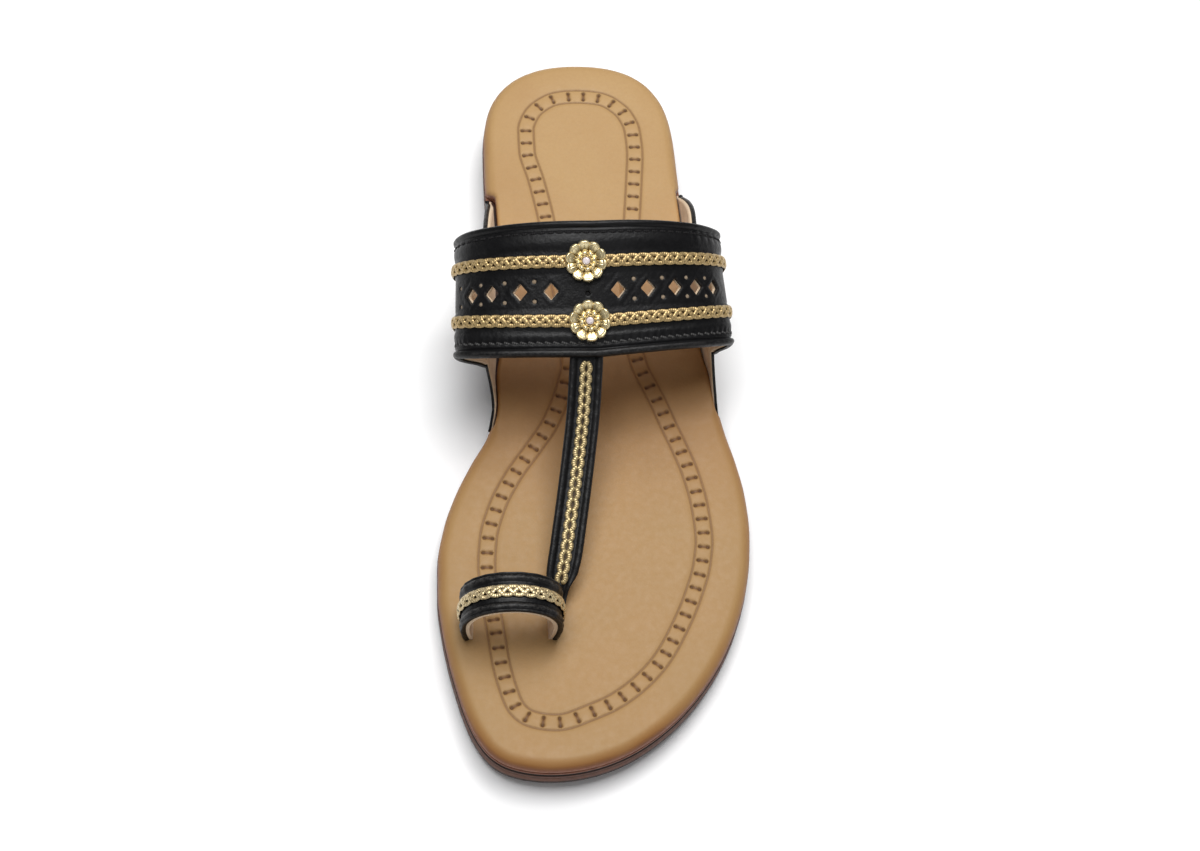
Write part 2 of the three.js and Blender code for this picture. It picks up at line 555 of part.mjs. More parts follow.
// ---------------------------------------------------------------- sandal
const group = new THREE.Group();
group.add(
  mesh('outsole', outsole, 0x4a3831, 0.7, 0),
  mesh('heel', heel, 0x43322c, 0.7, 0),
  mesh('midsole', midsole, 0x6a4030, 0.65, 0),
  mesh('footbed', footbed, 0xc4a079, 0.55, 0),
  mesh('upper', upper, 0x1e1e20, 0.45, 0),
  mesh('braid_rear', braidRear, 0xd9bd7a, 0.3, 0.9),
  mesh('braid_front', braidFront, 0xd9bd7a, 0.3, 0.9),
  mesh('braid_strap', braidStrap, 0xd9bd7a, 0.3, 0.9),
  mesh('braid_loop', braidLoop, 0xd9bd7a, 0.3, 0.9),
);
for (const r of ROSETTES) group.add(mesh(r.name, rosette(r), 0xe9dfae, 0.25, 0.95));

export default group;
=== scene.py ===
# Looks of the kolhapuri sandal, left foot. Lengths in the tables are millimetres;
# everything is turned into metres as it becomes a mesh.
# s runs from the back of the heel forward to the toe, x is + to the lateral side.
import math
import bpy
import numpy as np
from mathutils import Vector, Matrix
from mathutils.geometry import delaunay_2d_cdt


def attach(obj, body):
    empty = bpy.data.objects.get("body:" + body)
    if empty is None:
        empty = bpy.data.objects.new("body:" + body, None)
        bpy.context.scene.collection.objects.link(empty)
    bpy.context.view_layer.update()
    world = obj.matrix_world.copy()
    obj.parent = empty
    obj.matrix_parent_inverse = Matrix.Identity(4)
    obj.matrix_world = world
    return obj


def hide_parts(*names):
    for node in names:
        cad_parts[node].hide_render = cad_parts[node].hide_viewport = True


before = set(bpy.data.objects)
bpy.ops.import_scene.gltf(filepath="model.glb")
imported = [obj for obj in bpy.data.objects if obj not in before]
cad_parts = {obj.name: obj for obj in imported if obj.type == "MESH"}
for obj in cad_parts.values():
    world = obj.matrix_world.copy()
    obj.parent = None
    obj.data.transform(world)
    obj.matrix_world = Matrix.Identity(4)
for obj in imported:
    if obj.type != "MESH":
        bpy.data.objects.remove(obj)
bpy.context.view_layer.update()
scene = bpy.context.scene
PI = math.pi
rng = np.random.default_rng(7)

# ------------------------------------------------------------------ sizes
LENGTH, ORIGIN_S, ORIGIN_X = 252.0, 124.5, 0.395
HEEL_TOP, BALL_TOP, SHANK_START, SHANK_END = 20.0, 12.5, 55.0, 150.0
SPRING_START, SPRING_RUN, SPRING_RISE, SPRING_POWER = 200.0, 50.0, 3.0, 1.6
FOOTBED_THICK, FOOTBED_RIM = 4.7, 4.0
MIDSOLE_TOP, MIDSOLE_THICK, MIDSOLE_PROUD = 5.0, 1.2, 0.0
OUTSOLE_TOP, STACK, OUTSOLE_PROUD = 6.5, 12.5, 0.2
HEEL_BREAST, HEEL_TAPER, BREAST_LEAN, GAP = 62.0, 1.2, 2.0, 0.3
BAND_WALL, STRAP_WALL, LOOP_WALL = 2.4, 2.2, 2.6
EAR_SET, LAP_OUT, EAR_WALL = dict(medial=0.1, lateral=-0.5), 1.3, 2.0
BRAID_WIDTH, BRAID_THICK, ROSETTE_R = 4.1, 0.9, 6.2

OUTLINE = [(-1.5, 0.1, 0.1), (-1.1, -6.6, 6.8), (0.2, -12.8, 12.8), (3, -19.2, 18.9), (7.9, -25.1, 24.3),
           (16, -29.8, 28.7), (22, -31.3, 30.2), (30, -32.1, 31.2), (45, -31.9, 32), (60, -31.1, 33.1),
           (75, -30.6, 34.7), (90, -30.8, 36.8), (105, -30.7, 38.7), (117, -30.3, 39.8), (128, -29.9, 41),
           (137, -31.6, 42.8), (148, -37.2, 45.7), (159, -42.2, 47.7), (170, -45.7, 48.4),
           (181.5, -47.5, 47.7), (192, -47.5, 45.8), (203, -46.3, 42.4), (214, -44.3, 37.4), (224, -41.8, 31.1),
           (232, -39.4, 24.5), (239, -36.4, 16.9), (244.5, -32.6, 8.7), (247.5, -28.7, 2.1),
           (249.3, -24, -3.8), (250.2, -19.3, -9), (250.5, -14.2, -14.2)]
BAND = dict(rear=dict(top=94.6, height=65.8, wide=41.5, centre=-0.6, waist=39.1, lean=0.38, skew=0.06, foot=28.0),
            front=dict(top=130.65, height=45.4, wide=43.0, centre=0.8, waist=33.9, lean=0.57, skew=0.12, foot=24.6))
BAND_POWER, BAND_TURN = 2.1, 0.76
EAR = dict(
    medial=[(53.2, 15.2), (55.2, 17.6), (58, 20.6), (62, 23.8), (66, 26.4), (71, 28.9), (79, 31.2), (92, 31.0),
            (106, 29.6), (119, 28.4), (121.2, 27.4), (122.6, 24.6), (124.6, 19.8), (128.6, 15.4), (132.4, 13.0),
            (135.6, 9.8)],
    lateral=[(50.4, 15.2), (52, 17.6), (54.6, 20.8), (58.4, 24.4), (62.6, 27.2), (68, 29.4), (76, 31.2), (88, 31.0),
             (101, 29.6), (113.5, 28.4), (115.6, 27.4), (117.4, 24.8), (122.0, 18.4), (126.0, 13.6), (130.6, 9.8)])
EAR_LEAN = dict(medial=(0.2, 0.2), lateral=(0.14, -0.08))
STRAP = [(119.0, -2.0, 48.9, 10.2), (130.6, -2.6, 42.2, 10.2), (137.0, -3.0, 38.7, 10.2), (144.5, -3.6, 35.0, 10.2),
         (155.0, -4.9, 30.7, 10.2), (165.0, -6.3, 27.1, 10.2), (175.0, -7.8, 23.9, 10.2), (184.5, -9.3, 21.1, 10.2),
         (190.0, -10.4, 19.2, 9.6), (194.6, -11.3, 17.2, 5.8), (198.4, -11.4, 15.0, 4.0), (201.6, -11.6, 12.4, 3.7),
         (203.2, -11.8, 8.3, 3.6)]
STRAP_BRAID_FROM, STRAP_BRAID_TO = 130.4, 192.6
LOOP = dict(s=203.6, width=12.6, centre=-25.9, wide=14.9, waist=22.0, top=35.2, tuck=1.6, power=2.1)
LOOP_TURN = 0.66
DIAMOND_ACROSS, DIAMOND_LONG, DIAMOND_WIDE = 0.515, 5.6, 5.0
DIAMOND_X = [-37.4, -31.3, -22.8, -13.4, 7.2, 16.4, 25.0, 31.8, 37.6]
BRAID_REAR, BRAID_FRONT, BRAID_BOW = 0.30, 0.735, 0.03
ROSETTES = [("rear", 0.30, -2.8), ("front", 0.735, -1.7)]

# Ladder line tooled into the footbed: its outer line, by station.
LADDER = [(10.6, -0.6, -0.6), (11.6, -8.6, 8.0), (14.6, -14.0, 13.2), (19.5, -18.3, 17.4), (27, -20.6, 19.9),
          (36, -20.4, 20.4), (48, -17.6, 19.6), (62, -14.9, 18.4), (78, -12.6, 17.0), (92, -10.2, 16.4),
          (103, -8.7, 16.6), (114.5, -8.5, 18.8), (121.4, -9.9, 21.8), (128.2, -12.2, 24.7), (135.0, -15.2, 27.2),
          (141.2, -19.2, 29.6), (152.5, -26.6, 33.3), (163.8, -31.9, 35.5), (174.8, -34.7, 36.3), (184, -35.3, 35.2), (195.8, -34.4, 31.6), (207.1, -32.8, 26.6),
          (217.1, -31.4, 20.9), (225.0, -29.6, 14.0), (231.6, -27.3, 5.4), (236.0, -23.4, -4.0), (238.5, -13.2, -13.2)]
LADDER_WIDE = 5.1
# The ladder's bars were struck by hand: distance along its middle line, number of the bar there.
BARS = [(-2.9, 0), (136.6, 28), (213.3, 44), (222.6, 46), (252.8, 52), (258.1, 53), (297.6, 61), (319.4, 66), (364.1, 75), (484.1, 99), (506.4, 103)]


# ------------------------------------------------------------------ curves
def curve(keys, vals):
    """Monotone cubic through the rows, the one that the frame's source uses."""
    k, v = np.array(keys, float), np.array(vals, float)
    n = len(k)
    d = np.diff(v) / np.diff(k)
    m = np.zeros(n)
    m[0], m[-1] = d[0], d[-1]
    for i in range(1, n - 1):
        if d[i - 1] * d[i] > 0:
            h0, h1 = k[i] - k[i - 1], k[i + 1] - k[i]
            w0, w1 = 2 * h1 + h0, h1 + 2 * h0
            m[i] = (w0 + w1) / (w0 / d[i - 1] + w1 / d[i])

    def f(q):
        q = np.asarray(q, float)
        i = np.clip(np.searchsorted(k, q, side="left") - 1, 0, n - 2)
        h = k[i + 1] - k[i]
        u = (q - k[i]) / h
        u2, u3 = u * u, u * u * u
        return (v[i] * (2 * u3 - 3 * u2 + 1) + m[i] * h * (u3 - 2 * u2 + u)
                + v[i + 1] * (3 * u2 - 2 * u3) + m[i + 1] * h * (u3 - u2))
    return f


def smooth(v):
    u = np.clip(v, 0, 1)
    return u * u * (3 - 2 * u)


def step(a, b, v):
    return smooth((np.asarray(v, float) - a) / (b - a))


def bump(x, half):
    """1 at 0, 0 from half on, round between."""
    u = np.clip(np.abs(x) / half, 0, 1)
    return (1 - u * u) ** 2


def top_level(s):
    s = np.asarray(s, float)
    return (HEEL_TOP - (HEEL_TOP - BALL_TOP) * smooth((s - SHANK_START) / (SHANK_END - SHANK_START))
            + SPRING_RISE * np.clip((s - SPRING_START) / SPRING_RUN, 0, 1.2) ** SPRING_POWER)


HEEL_END = OUTLINE[0][0]


def angle_of(s):
    return np.arccos(np.clip(1 - 2 * (np.asarray(s, float) - HEEL_END) / LENGTH, -1, 1))


def station_of(a):
    return HEEL_END + LENGTH * (1 - np.cos(a)) / 2


_rows = np.array(OUTLINE)
side_of = dict(medial=curve(angle_of(_rows[:, 0]), _rows[:, 1]), lateral=curve(angle_of(_rows[:, 0]), _rows[:, 2]))


def outline_x(side, s):
    return side_of[side](angle_of(s))


def loop_point(U):
    """Outline by turn: 0 at the heel, pi at the toe over the lateral side, 2 pi back at the heel."""
    U = np.mod(U, 2 * PI)
    lat = U <= PI
    a = np.where(lat, U, 2 * PI - U)
    return np.where(lat, side_of["lateral"](a), side_of["medial"](a)), station_of(a)


def loop_normal(U, e=2e-2):
    x1, s1 = loop_point(U + e)
    x0, s0 = loop_point(U - e)
    l = np.hypot(x1 - x0, s1 - s0)
    return (s1 - s0) / l, -(x1 - x0) / l


def place(x, s, z):
    """Shoe's own frame, mm, to the object's, in metres."""
    x, s, z = np.broadcast_arrays(x, s, z)
    return np.stack([x - ORIGIN_X, ORIGIN_S - s, z], -1) * 0.001


# ------------------------------------------------------------------ meshes
COLLECTED = []


def make(name, verts, faces, material, smooth_angle=40.0, attrs=None, slot=None, node=None):
    """A piece from arrays; faces are quads (n,4), triangles (m,3) or a list of both."""
    me = bpy.data.meshes.new(name)
    verts = np.ascontiguousarray(verts, np.float64).reshape(-1, 3)
    parts = faces if isinstance(faces, list) else [faces]
    loops, starts, totals, at = [], [], [], 0
    for f in parts:
        f = np.asarray(f, np.int64)
        if not len(f):
            continue
        k = f.shape[1]
        loops.append(f.reshape(-1))
        starts.append(at + k * np.arange(len(f)))
        totals.append(np.full(len(f), k))
        at += k * len(f)
    loops, starts, totals = np.concatenate(loops), np.concatenate(starts), np.concatenate(totals)
    me.vertices.add(len(verts))
    me.vertices.foreach_set("co", verts.reshape(-1).astype(np.float32))
    me.loops.add(len(loops))
    me.loops.foreach_set("vertex_index", loops.astype(np.int32))
    me.polygons.add(len(starts))
    me.polygons.foreach_set("loop_start", starts.astype(np.int32))
    me.polygons.foreach_set("loop_total", totals.astype(np.int32))
    me.update(calc_edges=True)
    me.validate(clean_customdata=False)
    me.polygons.foreach_set("use_smooth", np.ones(len(me.polygons), bool))
    me.set_sharp_from_angle(angle=math.radians(smooth_angle))
    for key, val in (attrs or {}).items():
        a = me.attributes.new(key, "FLOAT", "POINT")
        a.data.foreach_set("value", np.ascontiguousarray(val, np.float32).reshape(-1))
    ob = bpy.data.objects.new(name, me)
    scene.collection.objects.link(ob)
    me.materials.append(material)
    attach(ob, "root")
    if node:
        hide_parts(*([node] if isinstance(node, str) else node))
    COLLECTED.append(ob)
    return ob


def grid_faces(nu, nv, wrap_u=False, wrap_v=False, base=0, flip=False):
    """Quads of a grid of nu x nv points, index i*nv+j."""
    iu = np.arange(nu if wrap_u else nu - 1)
    jv = np.arange(nv if wrap_v else nv - 1)
    i, j = np.meshgrid(iu, jv, indexing="ij")
    i1, j1 = (i + 1) % nu, (j + 1) % nv
    f = np.stack([i * nv + j, i1 * nv + j, i1 * nv + j1, i * nv + j1], -1).reshape(-1, 4) + base
    return f[:, ::-1] if flip else f


class Batch:
    """Several grids joined into one mesh."""
    def __init__(self):
        self.v, self.q, self.t, self.n, self.a = [], [], [], 0, {}

    def attr(self, name, vals, count):
        self.a.setdefault(name, []).append(np.broadcast_to(np.asarray(vals, float), (count,)).copy())

    def add(self, verts, quads=None, tris=None, **attrs):
        verts = np.asarray(verts, float).reshape(-1, 3)
        if quads is not None and len(quads):
            self.q.append(np.asarray(quads) + self.n)
        if tris is not None and len(tris):
            self.t.append(np.asarray(tris) + self.n)
        for k, val in attrs.items():
            self.attr(k, np.asarray(val, float).reshape(-1) if np.ndim(val) else val, len(verts))
        self.v.append(verts)
        self.n += len(verts)

    def make(self, name, material, **kw):
        parts = []
        if self.q:
            parts.append(np.concatenate(self.q))
        if self.t:
            parts.append(np.concatenate(self.t))
        return make(name, np.concatenate(self.v), parts, material, attrs={k: np.concatenate(v) for k, v in self.a.items()}, **kw)


def outward(verts, quads):
    """Turns a closed grid's faces so that it holds a positive volume."""
    v = verts[quads[:, 0]], verts[quads[:, 1]], verts[quads[:, 2]], verts[quads[:, 3]]
    vol = np.einsum("ij,ij->i", v[0], np.cross(v[1], v[2])).sum() + np.einsum("ij,ij->i", v[0], np.cross(v[2], v[3])).sum()
    return quads if vol > 0 else quads[:, ::-1]


def unit(v):
    return v / np.maximum(np.linalg.norm(v, axis=-1, keepdims=True), 1e-12)


def tube(path, up, ra, rb, sides=8, section=None, closed=False, taper=True):
    """Solid strand along path; up is the direction of its thickness at each point.
    section(angle) gives factors on ra (across) and rb (up)."""
    path = np.asarray(path, float)
    n = len(path)
    if closed:
        tan = np.roll(path, -1, 0) - np.roll(path, 1, 0)
    else:
        tan = np.gradient(path, axis=0)
    tan = unit(tan)
    up = np.broadcast_to(up, path.shape)
    side = unit(np.cross(tan, up))
    up = unit(np.cross(side, tan))
    a = 2 * PI * np.arange(sides) / sides
    ca, sa = np.cos(a), np.sin(a)
    if section is not None:
        fa, fb = section(a)
        ca, sa = ca * fa, sa * fb
    ra = np.broadcast_to(ra, (n,))
    rb = np.broadcast_to(rb, (n,))
    v = (path[:, None] + side[:, None] * (ra[:, None] * ca)[..., None] + up[:, None] * (rb[:, None] * sa)[..., None])
    q = grid_faces(n, sides, wrap_u=closed, wrap_v=True)
    verts = v.reshape(-1, 3)
    tris = None
    if not closed:
        base = len(verts)
        verts = np.vstack([verts, path[0] - tan[0] * ra[0] * 0.5, path[-1] + tan[-1] * ra[-1] * 0.5])
        i = np.arange(sides)
        t0 = np.stack([np.full(sides, base), (i + 1) % sides, i], -1)
        t1 = np.stack([np.full(sides, base + 1), (n - 1) * sides + i, (n - 1) * sides + (i + 1) % sides], -1)
        tris = np.vstack([t0, t1])
    # keep the faces outward
    c = v[0].mean(0)
    p0, p1, p2 = verts[q[0][0]], verts[q[0][1]], verts[q[0][2]]
    if np.dot(np.cross(p1 - p0, p2 - p0), p0 - c) < 0:
        q = q[:, ::-1]
        if tris is not None:
            tris = tris[:, ::-1]
    return verts, q, tris


# ------------------------------------------------------------------ materials
class Mat:
    """A small hand for writing node trees."""
    def __init__(self, name):
        self.m = bpy.data.materials.new(name)
        self.m.use_nodes = True
        self.t = self.m.node_tree
        self.t.nodes.clear()
        self.out = self.t.nodes.new("ShaderNodeOutputMaterial")
        self.p = self.t.nodes.new("ShaderNodeBsdfPrincipled")
        self.t.links.new(self.p.outputs[0], self.out.inputs[0])
        tc = self.t.nodes.new("ShaderNodeTexCoord")
        mp = self.t.nodes.new("ShaderNodeMapping")
        mp.inputs["Scale"].default_value = (1000, 1000, 1000)
        self.t.links.new(tc.outputs["Object"], mp.inputs["Vector"])
        self.mm = mp.outputs[0]

    def put(self, sock, val):
        if hasattr(val, "is_output"):
            self.t.links.new(val, sock)
        elif isinstance(val, (tuple, list)) and len(val) == 3 and sock.type == "RGBA":
            sock.default_value = (*val, 1.0)
        else:
            sock.default_value = val

    def set(self, **kw):
        names = dict(color="Base Color", rough="Roughness", metal="Metallic", spec="Specular IOR Level", normal="Normal",
                     sheen="Sheen Weight", sheen_rough="Sheen Roughness", sheen_tint="Sheen Tint", coat="Coat Weight",
                     coat_rough="Coat Roughness", ior="IOR", transmission="Transmission Weight", sss="Subsurface Weight",
                     sss_scale="Subsurface Scale", aniso="Anisotropic", spec_tint="Specular Tint")
        for k, v in kw.items():
            self.put(self.p.inputs[names[k]], v)
        return self

    def node(self, kind, ins=None, out=0, **props):
        n = self.t.nodes.new(kind)
        for k, v in props.items():
            setattr(n, k, v)
        for k, v in (ins or {}).items():
            self.put(n.inputs[k], v)
        return n.outputs[out]

    def attr(self, name):
        return self.node("ShaderNodeAttribute", attribute_name=name, out=2)

    def noise(self, scale, detail=3.0, rough=0.55, stretch=None, distort=0.0, dim="3D"):
        v = self.mm
        if stretch:
            v = self.node("ShaderNodeMapping", {"Vector": v, "Scale": stretch})
        return self.node("ShaderNodeTexNoise", {"Vector": v, "Scale": scale, "Detail": detail, "Roughness": rough,
                                                "Distortion": distort})

    def voronoi(self, scale, feature="F1", smoothness=None, randomness=1.0, stretch=None, out=0):
        v = self.mm
        if stretch:
            v = self.node("ShaderNodeMapping", {"Vector": v, "Scale": stretch})
        ins = {"Vector": v, "Scale": scale, "Randomness": randomness}
        if smoothness is not None:
            ins["Smoothness"] = smoothness
        return self.node("ShaderNodeTexVoronoi", ins, feature=feature, out=out)

    def math(self, op, a, b=0.0, c=0.0, clamp=False):
        n = self.t.nodes.new("ShaderNodeMath")
        n.operation = op
        n.use_clamp = clamp
        for i, v in enumerate((a, b, c)):
            self.put(n.inputs[i], v)
        return n.outputs[0]

    def remap(self, v, a, b, lo=0.0, hi=1.0):
        return self.node("ShaderNodeMapRange", {"Value": v, "From Min": a, "From Max": b, "To Min": lo, "To Max": hi})

    def mix(self, f, a, b, blend="MIX"):
        n = self.t.nodes.new("ShaderNodeMix")
        n.data_type = "RGBA"
        n.blend_type = blend
        self.put(n.inputs["Factor"], f)
        self.put(n.inputs[6], a)
        self.put(n.inputs[7], b)
        return n.outputs[2]

    def ramp(self, f, stops):
        n = self.t.nodes.new("ShaderNodeValToRGB")
        self.put(n.inputs[0], f)
        e = n.color_ramp.elements
        while len(e) < len(stops):
            e.new(0.5)
        for el, (p, c) in zip(e, stops):
            el.position = p
            el.color = (*c, 1.0)
        return n.outputs[0]

    def bumped(self, height, distance, strength=1.0, normal=None):
        ins = {"Height": height, "Distance": distance * 0.001, "Strength": strength}
        if normal is not None:
            ins["Normal"] = normal
        return self.node("ShaderNodeBump", ins)


def to_linear(r, g, b):
    """Display colour, 0 to 255, to the shader's."""
    out = []
    for c in (r, g, b):
        c /= 255.0
        out.append(c / 12.92 if c <= 0.04045 else ((c + 0.055) / 1.055) ** 2.4)
    return tuple(out)


lin = to_linear


def footbed_leather():
    m = Mat("footbed_leather")
    tool, rim, deep, forefoot_shade = m.attr("tool"), m.attr("rim"), m.attr("deep"), m.attr("forefoot_shade")
    cloud = m.noise(0.035, 3, 0.5)
    fine = m.noise(0.9, 4, 0.6)
    # painted shade: the forefoot is painted darker than the heel
    base = m.mix(forefoot_shade, lin(178, 144, 97), lin(161, 128, 83))
    # painted shade under and just in front of the band
    base = m.mix(m.attr("painted_band_shade"), base, lin(136, 99, 58))
    base = m.mix(m.remap(cloud, 0.35, 0.7), base, m.mix(0.5, base, lin(168, 130, 84)))
    base = m.mix(m.remap(fine, 0.4, 0.75, 0.0, 0.16), base, lin(156, 117, 74))
    # burnished rim: tan deepens to brown as the leather turns over the edge; the deeper brown toward the forefoot and
    # the toe tip is painted shade
    rim_burnish_and_shade = m.math("ADD", m.math("MULTIPLY", rim, m.math("ADD", m.remap(forefoot_shade, 0.0, 1.0, 0.76, 0.90), m.remap(m.attr("tip"), 0.0, 1.0, 0.0, 0.30))), m.remap(m.noise(0.06, 2, 0.5), 0.3, 0.7, -0.06, 0.06))
    base = m.mix(m.remap(rim_burnish_and_shade, 0.36, 0.86), base, lin(148, 100, 50))
    base = m.mix(m.remap(rim_burnish_and_shade, 0.78, 1.04), base, lin(118, 70, 34))
    base = m.mix(m.math("MULTIPLY", tool, m.remap(m.noise(1.3, 2, 0.5), 0.2, 0.8, 0.8, 1.0)), base, lin(92, 55, 25))
    base = m.mix(deep, base, lin(66, 37, 16))
    base = m.mix(m.attr("stain"), base, m.mix(m.remap(m.noise(0.9, 3, 0.6), 0.3, 0.7), lin(150, 96, 68), lin(122, 74, 50)))
    pores = m.voronoi(1.15, "SMOOTH_F1", 0.35)
    grain = m.bumped(pores, 0.035, 0.55)
    grain = m.bumped(m.noise(3.2, 4, 0.6), 0.03, 0.6, grain)
    grain = m.bumped(m.noise(0.05, 2, 0.5), 0.9, 0.25, grain)
    m.set(color=base, rough=m.remap(m.noise(0.5, 3, 0.6), 0.3, 0.7, 0.46, 0.6), spec=0.32, normal=grain)
    return m.m


def black_leather(name="black_leather", rough=(0.34, 0.47), grain=1.0):
    m = Mat(name)
    edge = m.attr("edge")
    n = m.noise(0.12, 3, 0.55)
    base = m.mix(m.remap(n, 0.3, 0.7), (0.0028, 0.0028, 0.0033), (0.0055, 0.0053, 0.0058))
    cells = m.voronoi(1.35, "SMOOTH_F1", 0.45)
    base = m.mix(m.remap(cells, 0.35, 0.75, 0.0, 0.35), base, (0.0022, 0.0022, 0.0025))
    # lighter grey where edge is set: raw cut edges, and on the roll crests partly rubbed wear and partly a painted
    # highlight
    base = m.mix(m.math("MULTIPLY", edge, m.remap(m.noise(1.1, 3, 0.6), 0.4, 0.65), clamp=True), base, (0.05, 0.047, 0.045))
    h = m.bumped(cells, 0.05 * grain, 0.75)
    h = m.bumped(m.noise(4.2, 4, 0.65), 0.03, 0.6, h)
    h = m.bumped(m.noise(0.32, 3, 0.55), 0.34, 0.55, h)
    m.set(color=base, rough=m.remap(m.noise(0.7, 3, 0.6), 0.3, 0.7, rough[0], rough[1]), spec=0.22, normal=h)
    return m.m


def cream_lining(name="cream_lining", k=1.0):
    m = Mat(name)
    lin = lambda r, g, b: tuple(k * c for c in to_linear(r, g, b))
    n = m.noise(0.25, 3, 0.55)
    base = m.mix(m.remap(n, 0.3, 0.7), lin(226, 203, 176), lin(208, 182, 152))
    base = m.mix(m.remap(m.noise(2.6, 4, 0.7), 0.45, 0.7, 0.0, 0.3), base, lin(178, 146, 110))
    base = m.mix(m.attr("cut"), base, lin(214, 192, 164))
    h = m.bumped(m.noise(5.5, 4, 0.75), 0.05, 0.8)
    h = m.bumped(m.noise(0.5, 3, 0.5), 0.15, 0.5, h)
    m.set(color=base, rough=0.82, spec=0.2, normal=h)
    m.set(sheen=0.15, sheen_rough=0.5)
    return m.m


def sole_leather(name, light, dark, seams=0.0, rough=0.55):
    """Brown edge-stained leather: fibre lines along the edge, darker scuffed lows. Near black where edge is set: seams
    and stained edges, with painted shade on the midsole's side and a painted contact shadow on the outsole's foot.
    """
    m = Mat(name)
    fibre = m.noise(1.0, 5, 0.7, stretch=(0.25, 0.25, 3.4))
    base = m.mix(m.remap(fibre, 0.3, 0.7), dark, light)
    base = m.mix(m.remap(m.noise(0.08, 3, 0.6), 0.35, 0.75, 0.0, 0.45), base, dark)
    # near black where edge is set: dark seams and stained edges, with painted shade on the midsole's side and a painted
    # contact shadow on the outsole's foot
    base = m.mix(m.attr("edge"), base, tuple(0.22 * c for c in dark))
    h = m.bumped(fibre, 0.10, 0.6)
    h = m.bumped(m.noise(2.5, 4, 0.6), 0.06, 0.5, h)
    m.set(color=base, rough=m.remap(m.noise(0.6, 3, 0.6), 0.3, 0.7, rough - 0.08, rough + 0.1), spec=0.35, normal=h)
    return m.m


def gold(name="gold_braid", light=(0.54, 0.39, 0.18), dark=(0.060, 0.030, 0.010), rough=(0.28, 0.42), thread=True):
    m = Mat(name)
    cav = m.attr("cav")
    patina = m.noise(0.7, 4, 0.6)
    base = m.mix(m.remap(patina, 0.35, 0.75, 0.0, 0.35), light, (0.47, 0.32, 0.13))
    base = m.mix(m.remap(cav, 0.25, 0.95), base, dark)
    h = None
    if thread:
        lay = m.math("SINE", m.math("MULTIPLY", m.attr("lay"), 2 * PI))
        h = m.bumped(lay, 0.05, 0.6)
        base = m.mix(m.remap(lay, -1.0, -0.2, 0.45, 0.0), base, dark)
    h = m.bumped(m.noise(3.5, 3, 0.6), 0.04, 0.5, h)
    m.set(color=base, metal=0.62, rough=m.remap(m.noise(1.7, 3, 0.6), 0.3, 0.7, rough[0], rough[1]), normal=h)
    return m.m


def rosette_metal():
    m = Mat("rosette_metal")
    cav = m.attr("cav")
    base = m.mix(m.remap(m.noise(0.6, 3, 0.6), 0.35, 0.7), (0.92, 0.79, 0.49), (0.84, 0.68, 0.36))
    base = m.mix(m.remap(cav, 0.25, 0.95), base, (0.24, 0.160, 0.045))
    h = m.bumped(m.noise(1.4, 3, 0.6), 0.06, 0.45)
    m.set(color=base, metal=0.80, rough=m.remap(m.noise(2.1, 3, 0.6), 0.3, 0.7, 0.16, 0.30), normal=h)
    return m.m


def stone_glass():
    m = Mat("stone_glass")
    tint = m.mix(m.remap(m.noise(1.2, 2, 0.5), 0.3, 0.7), (0.92, 0.84, 0.84), (0.86, 0.74, 0.75))
    m.set(color=tint, rough=0.03, spec=0.8, transmission=0.18, ior=1.6)
    return m.m


def thread_black(name="thread_black", a=(0.022, 0.022, 0.024), b=(0.070, 0.068, 0.068), rough=0.5, spec=0.4):
    m = Mat(name)
    twist = m.math("SINE", m.math("MULTIPLY", m.attr("lay"), 2 * PI))
    base = m.mix(m.remap(twist, -1.0, 1.0), a, b)
    h = m.bumped(twist, 0.05, 0.7)
    h = m.bumped(m.noise(6.0, 3, 0.6), 0.02, 0.5, h)
    m.set(color=base, rough=rough, spec=spec, normal=h)
    return m.m


def floor_paper():
    m = Mat("floor_paper")
    base = m.mix(m.remap(m.noise(0.004, 2, 0.5), 0.3, 0.7), (0.975, 0.975, 0.98), (0.985, 0.985, 0.99))
    m.set(color=base, rough=0.9, spec=0.1, normal=m.bumped(m.noise(0.6, 3, 0.6), 0.02, 0.2))
    return m.m


M_FOOTBED = footbed_leather()
M_BLACK = black_leather()
M_CREAM = cream_lining()
# the cream lining darkened to 0.4: painted shade inside the small holes
M_EYELET_SHADED = cream_lining("eyelet_lining_shaded", 0.40)
M_OUTSOLE = sole_leather("outsole_leather", lin(122, 78, 56), lin(76, 46, 34))
M_HEEL = sole_leather("heel_leather", lin(98, 72, 60), lin(58, 41, 36))
M_MIDSOLE = sole_leather("midsole_leather", lin(176, 120, 92), lin(128, 78, 58), rough=0.5)
M_GOLD = gold()
M_CHAIN = gold("gold_chain", light=(0.50, 0.395, 0.205), dark=(0.030, 0.018, 0.008), rough=(0.28, 0.42))
M_LOOP_GOLD = gold("gold_loop", light=(0.68, 0.55, 0.32), dark=(0.045, 0.024, 0.008), rough=(0.20, 0.32))
M_ROSETTE = rosette_metal()
M_STONE = stone_glass()
M_THREAD = thread_black(a=(0.005, 0.005, 0.006), b=(0.016, 0.015, 0.015), rough=0.7, spec=0.15)
# a lighter copy of the black thread for the band's front row: painted highlight
M_THREAD_FRONT_LIT = thread_black("thread_front_lit", (0.016, 0.016, 0.017), (0.070, 0.068, 0.066), rough=0.6, spec=0.25)


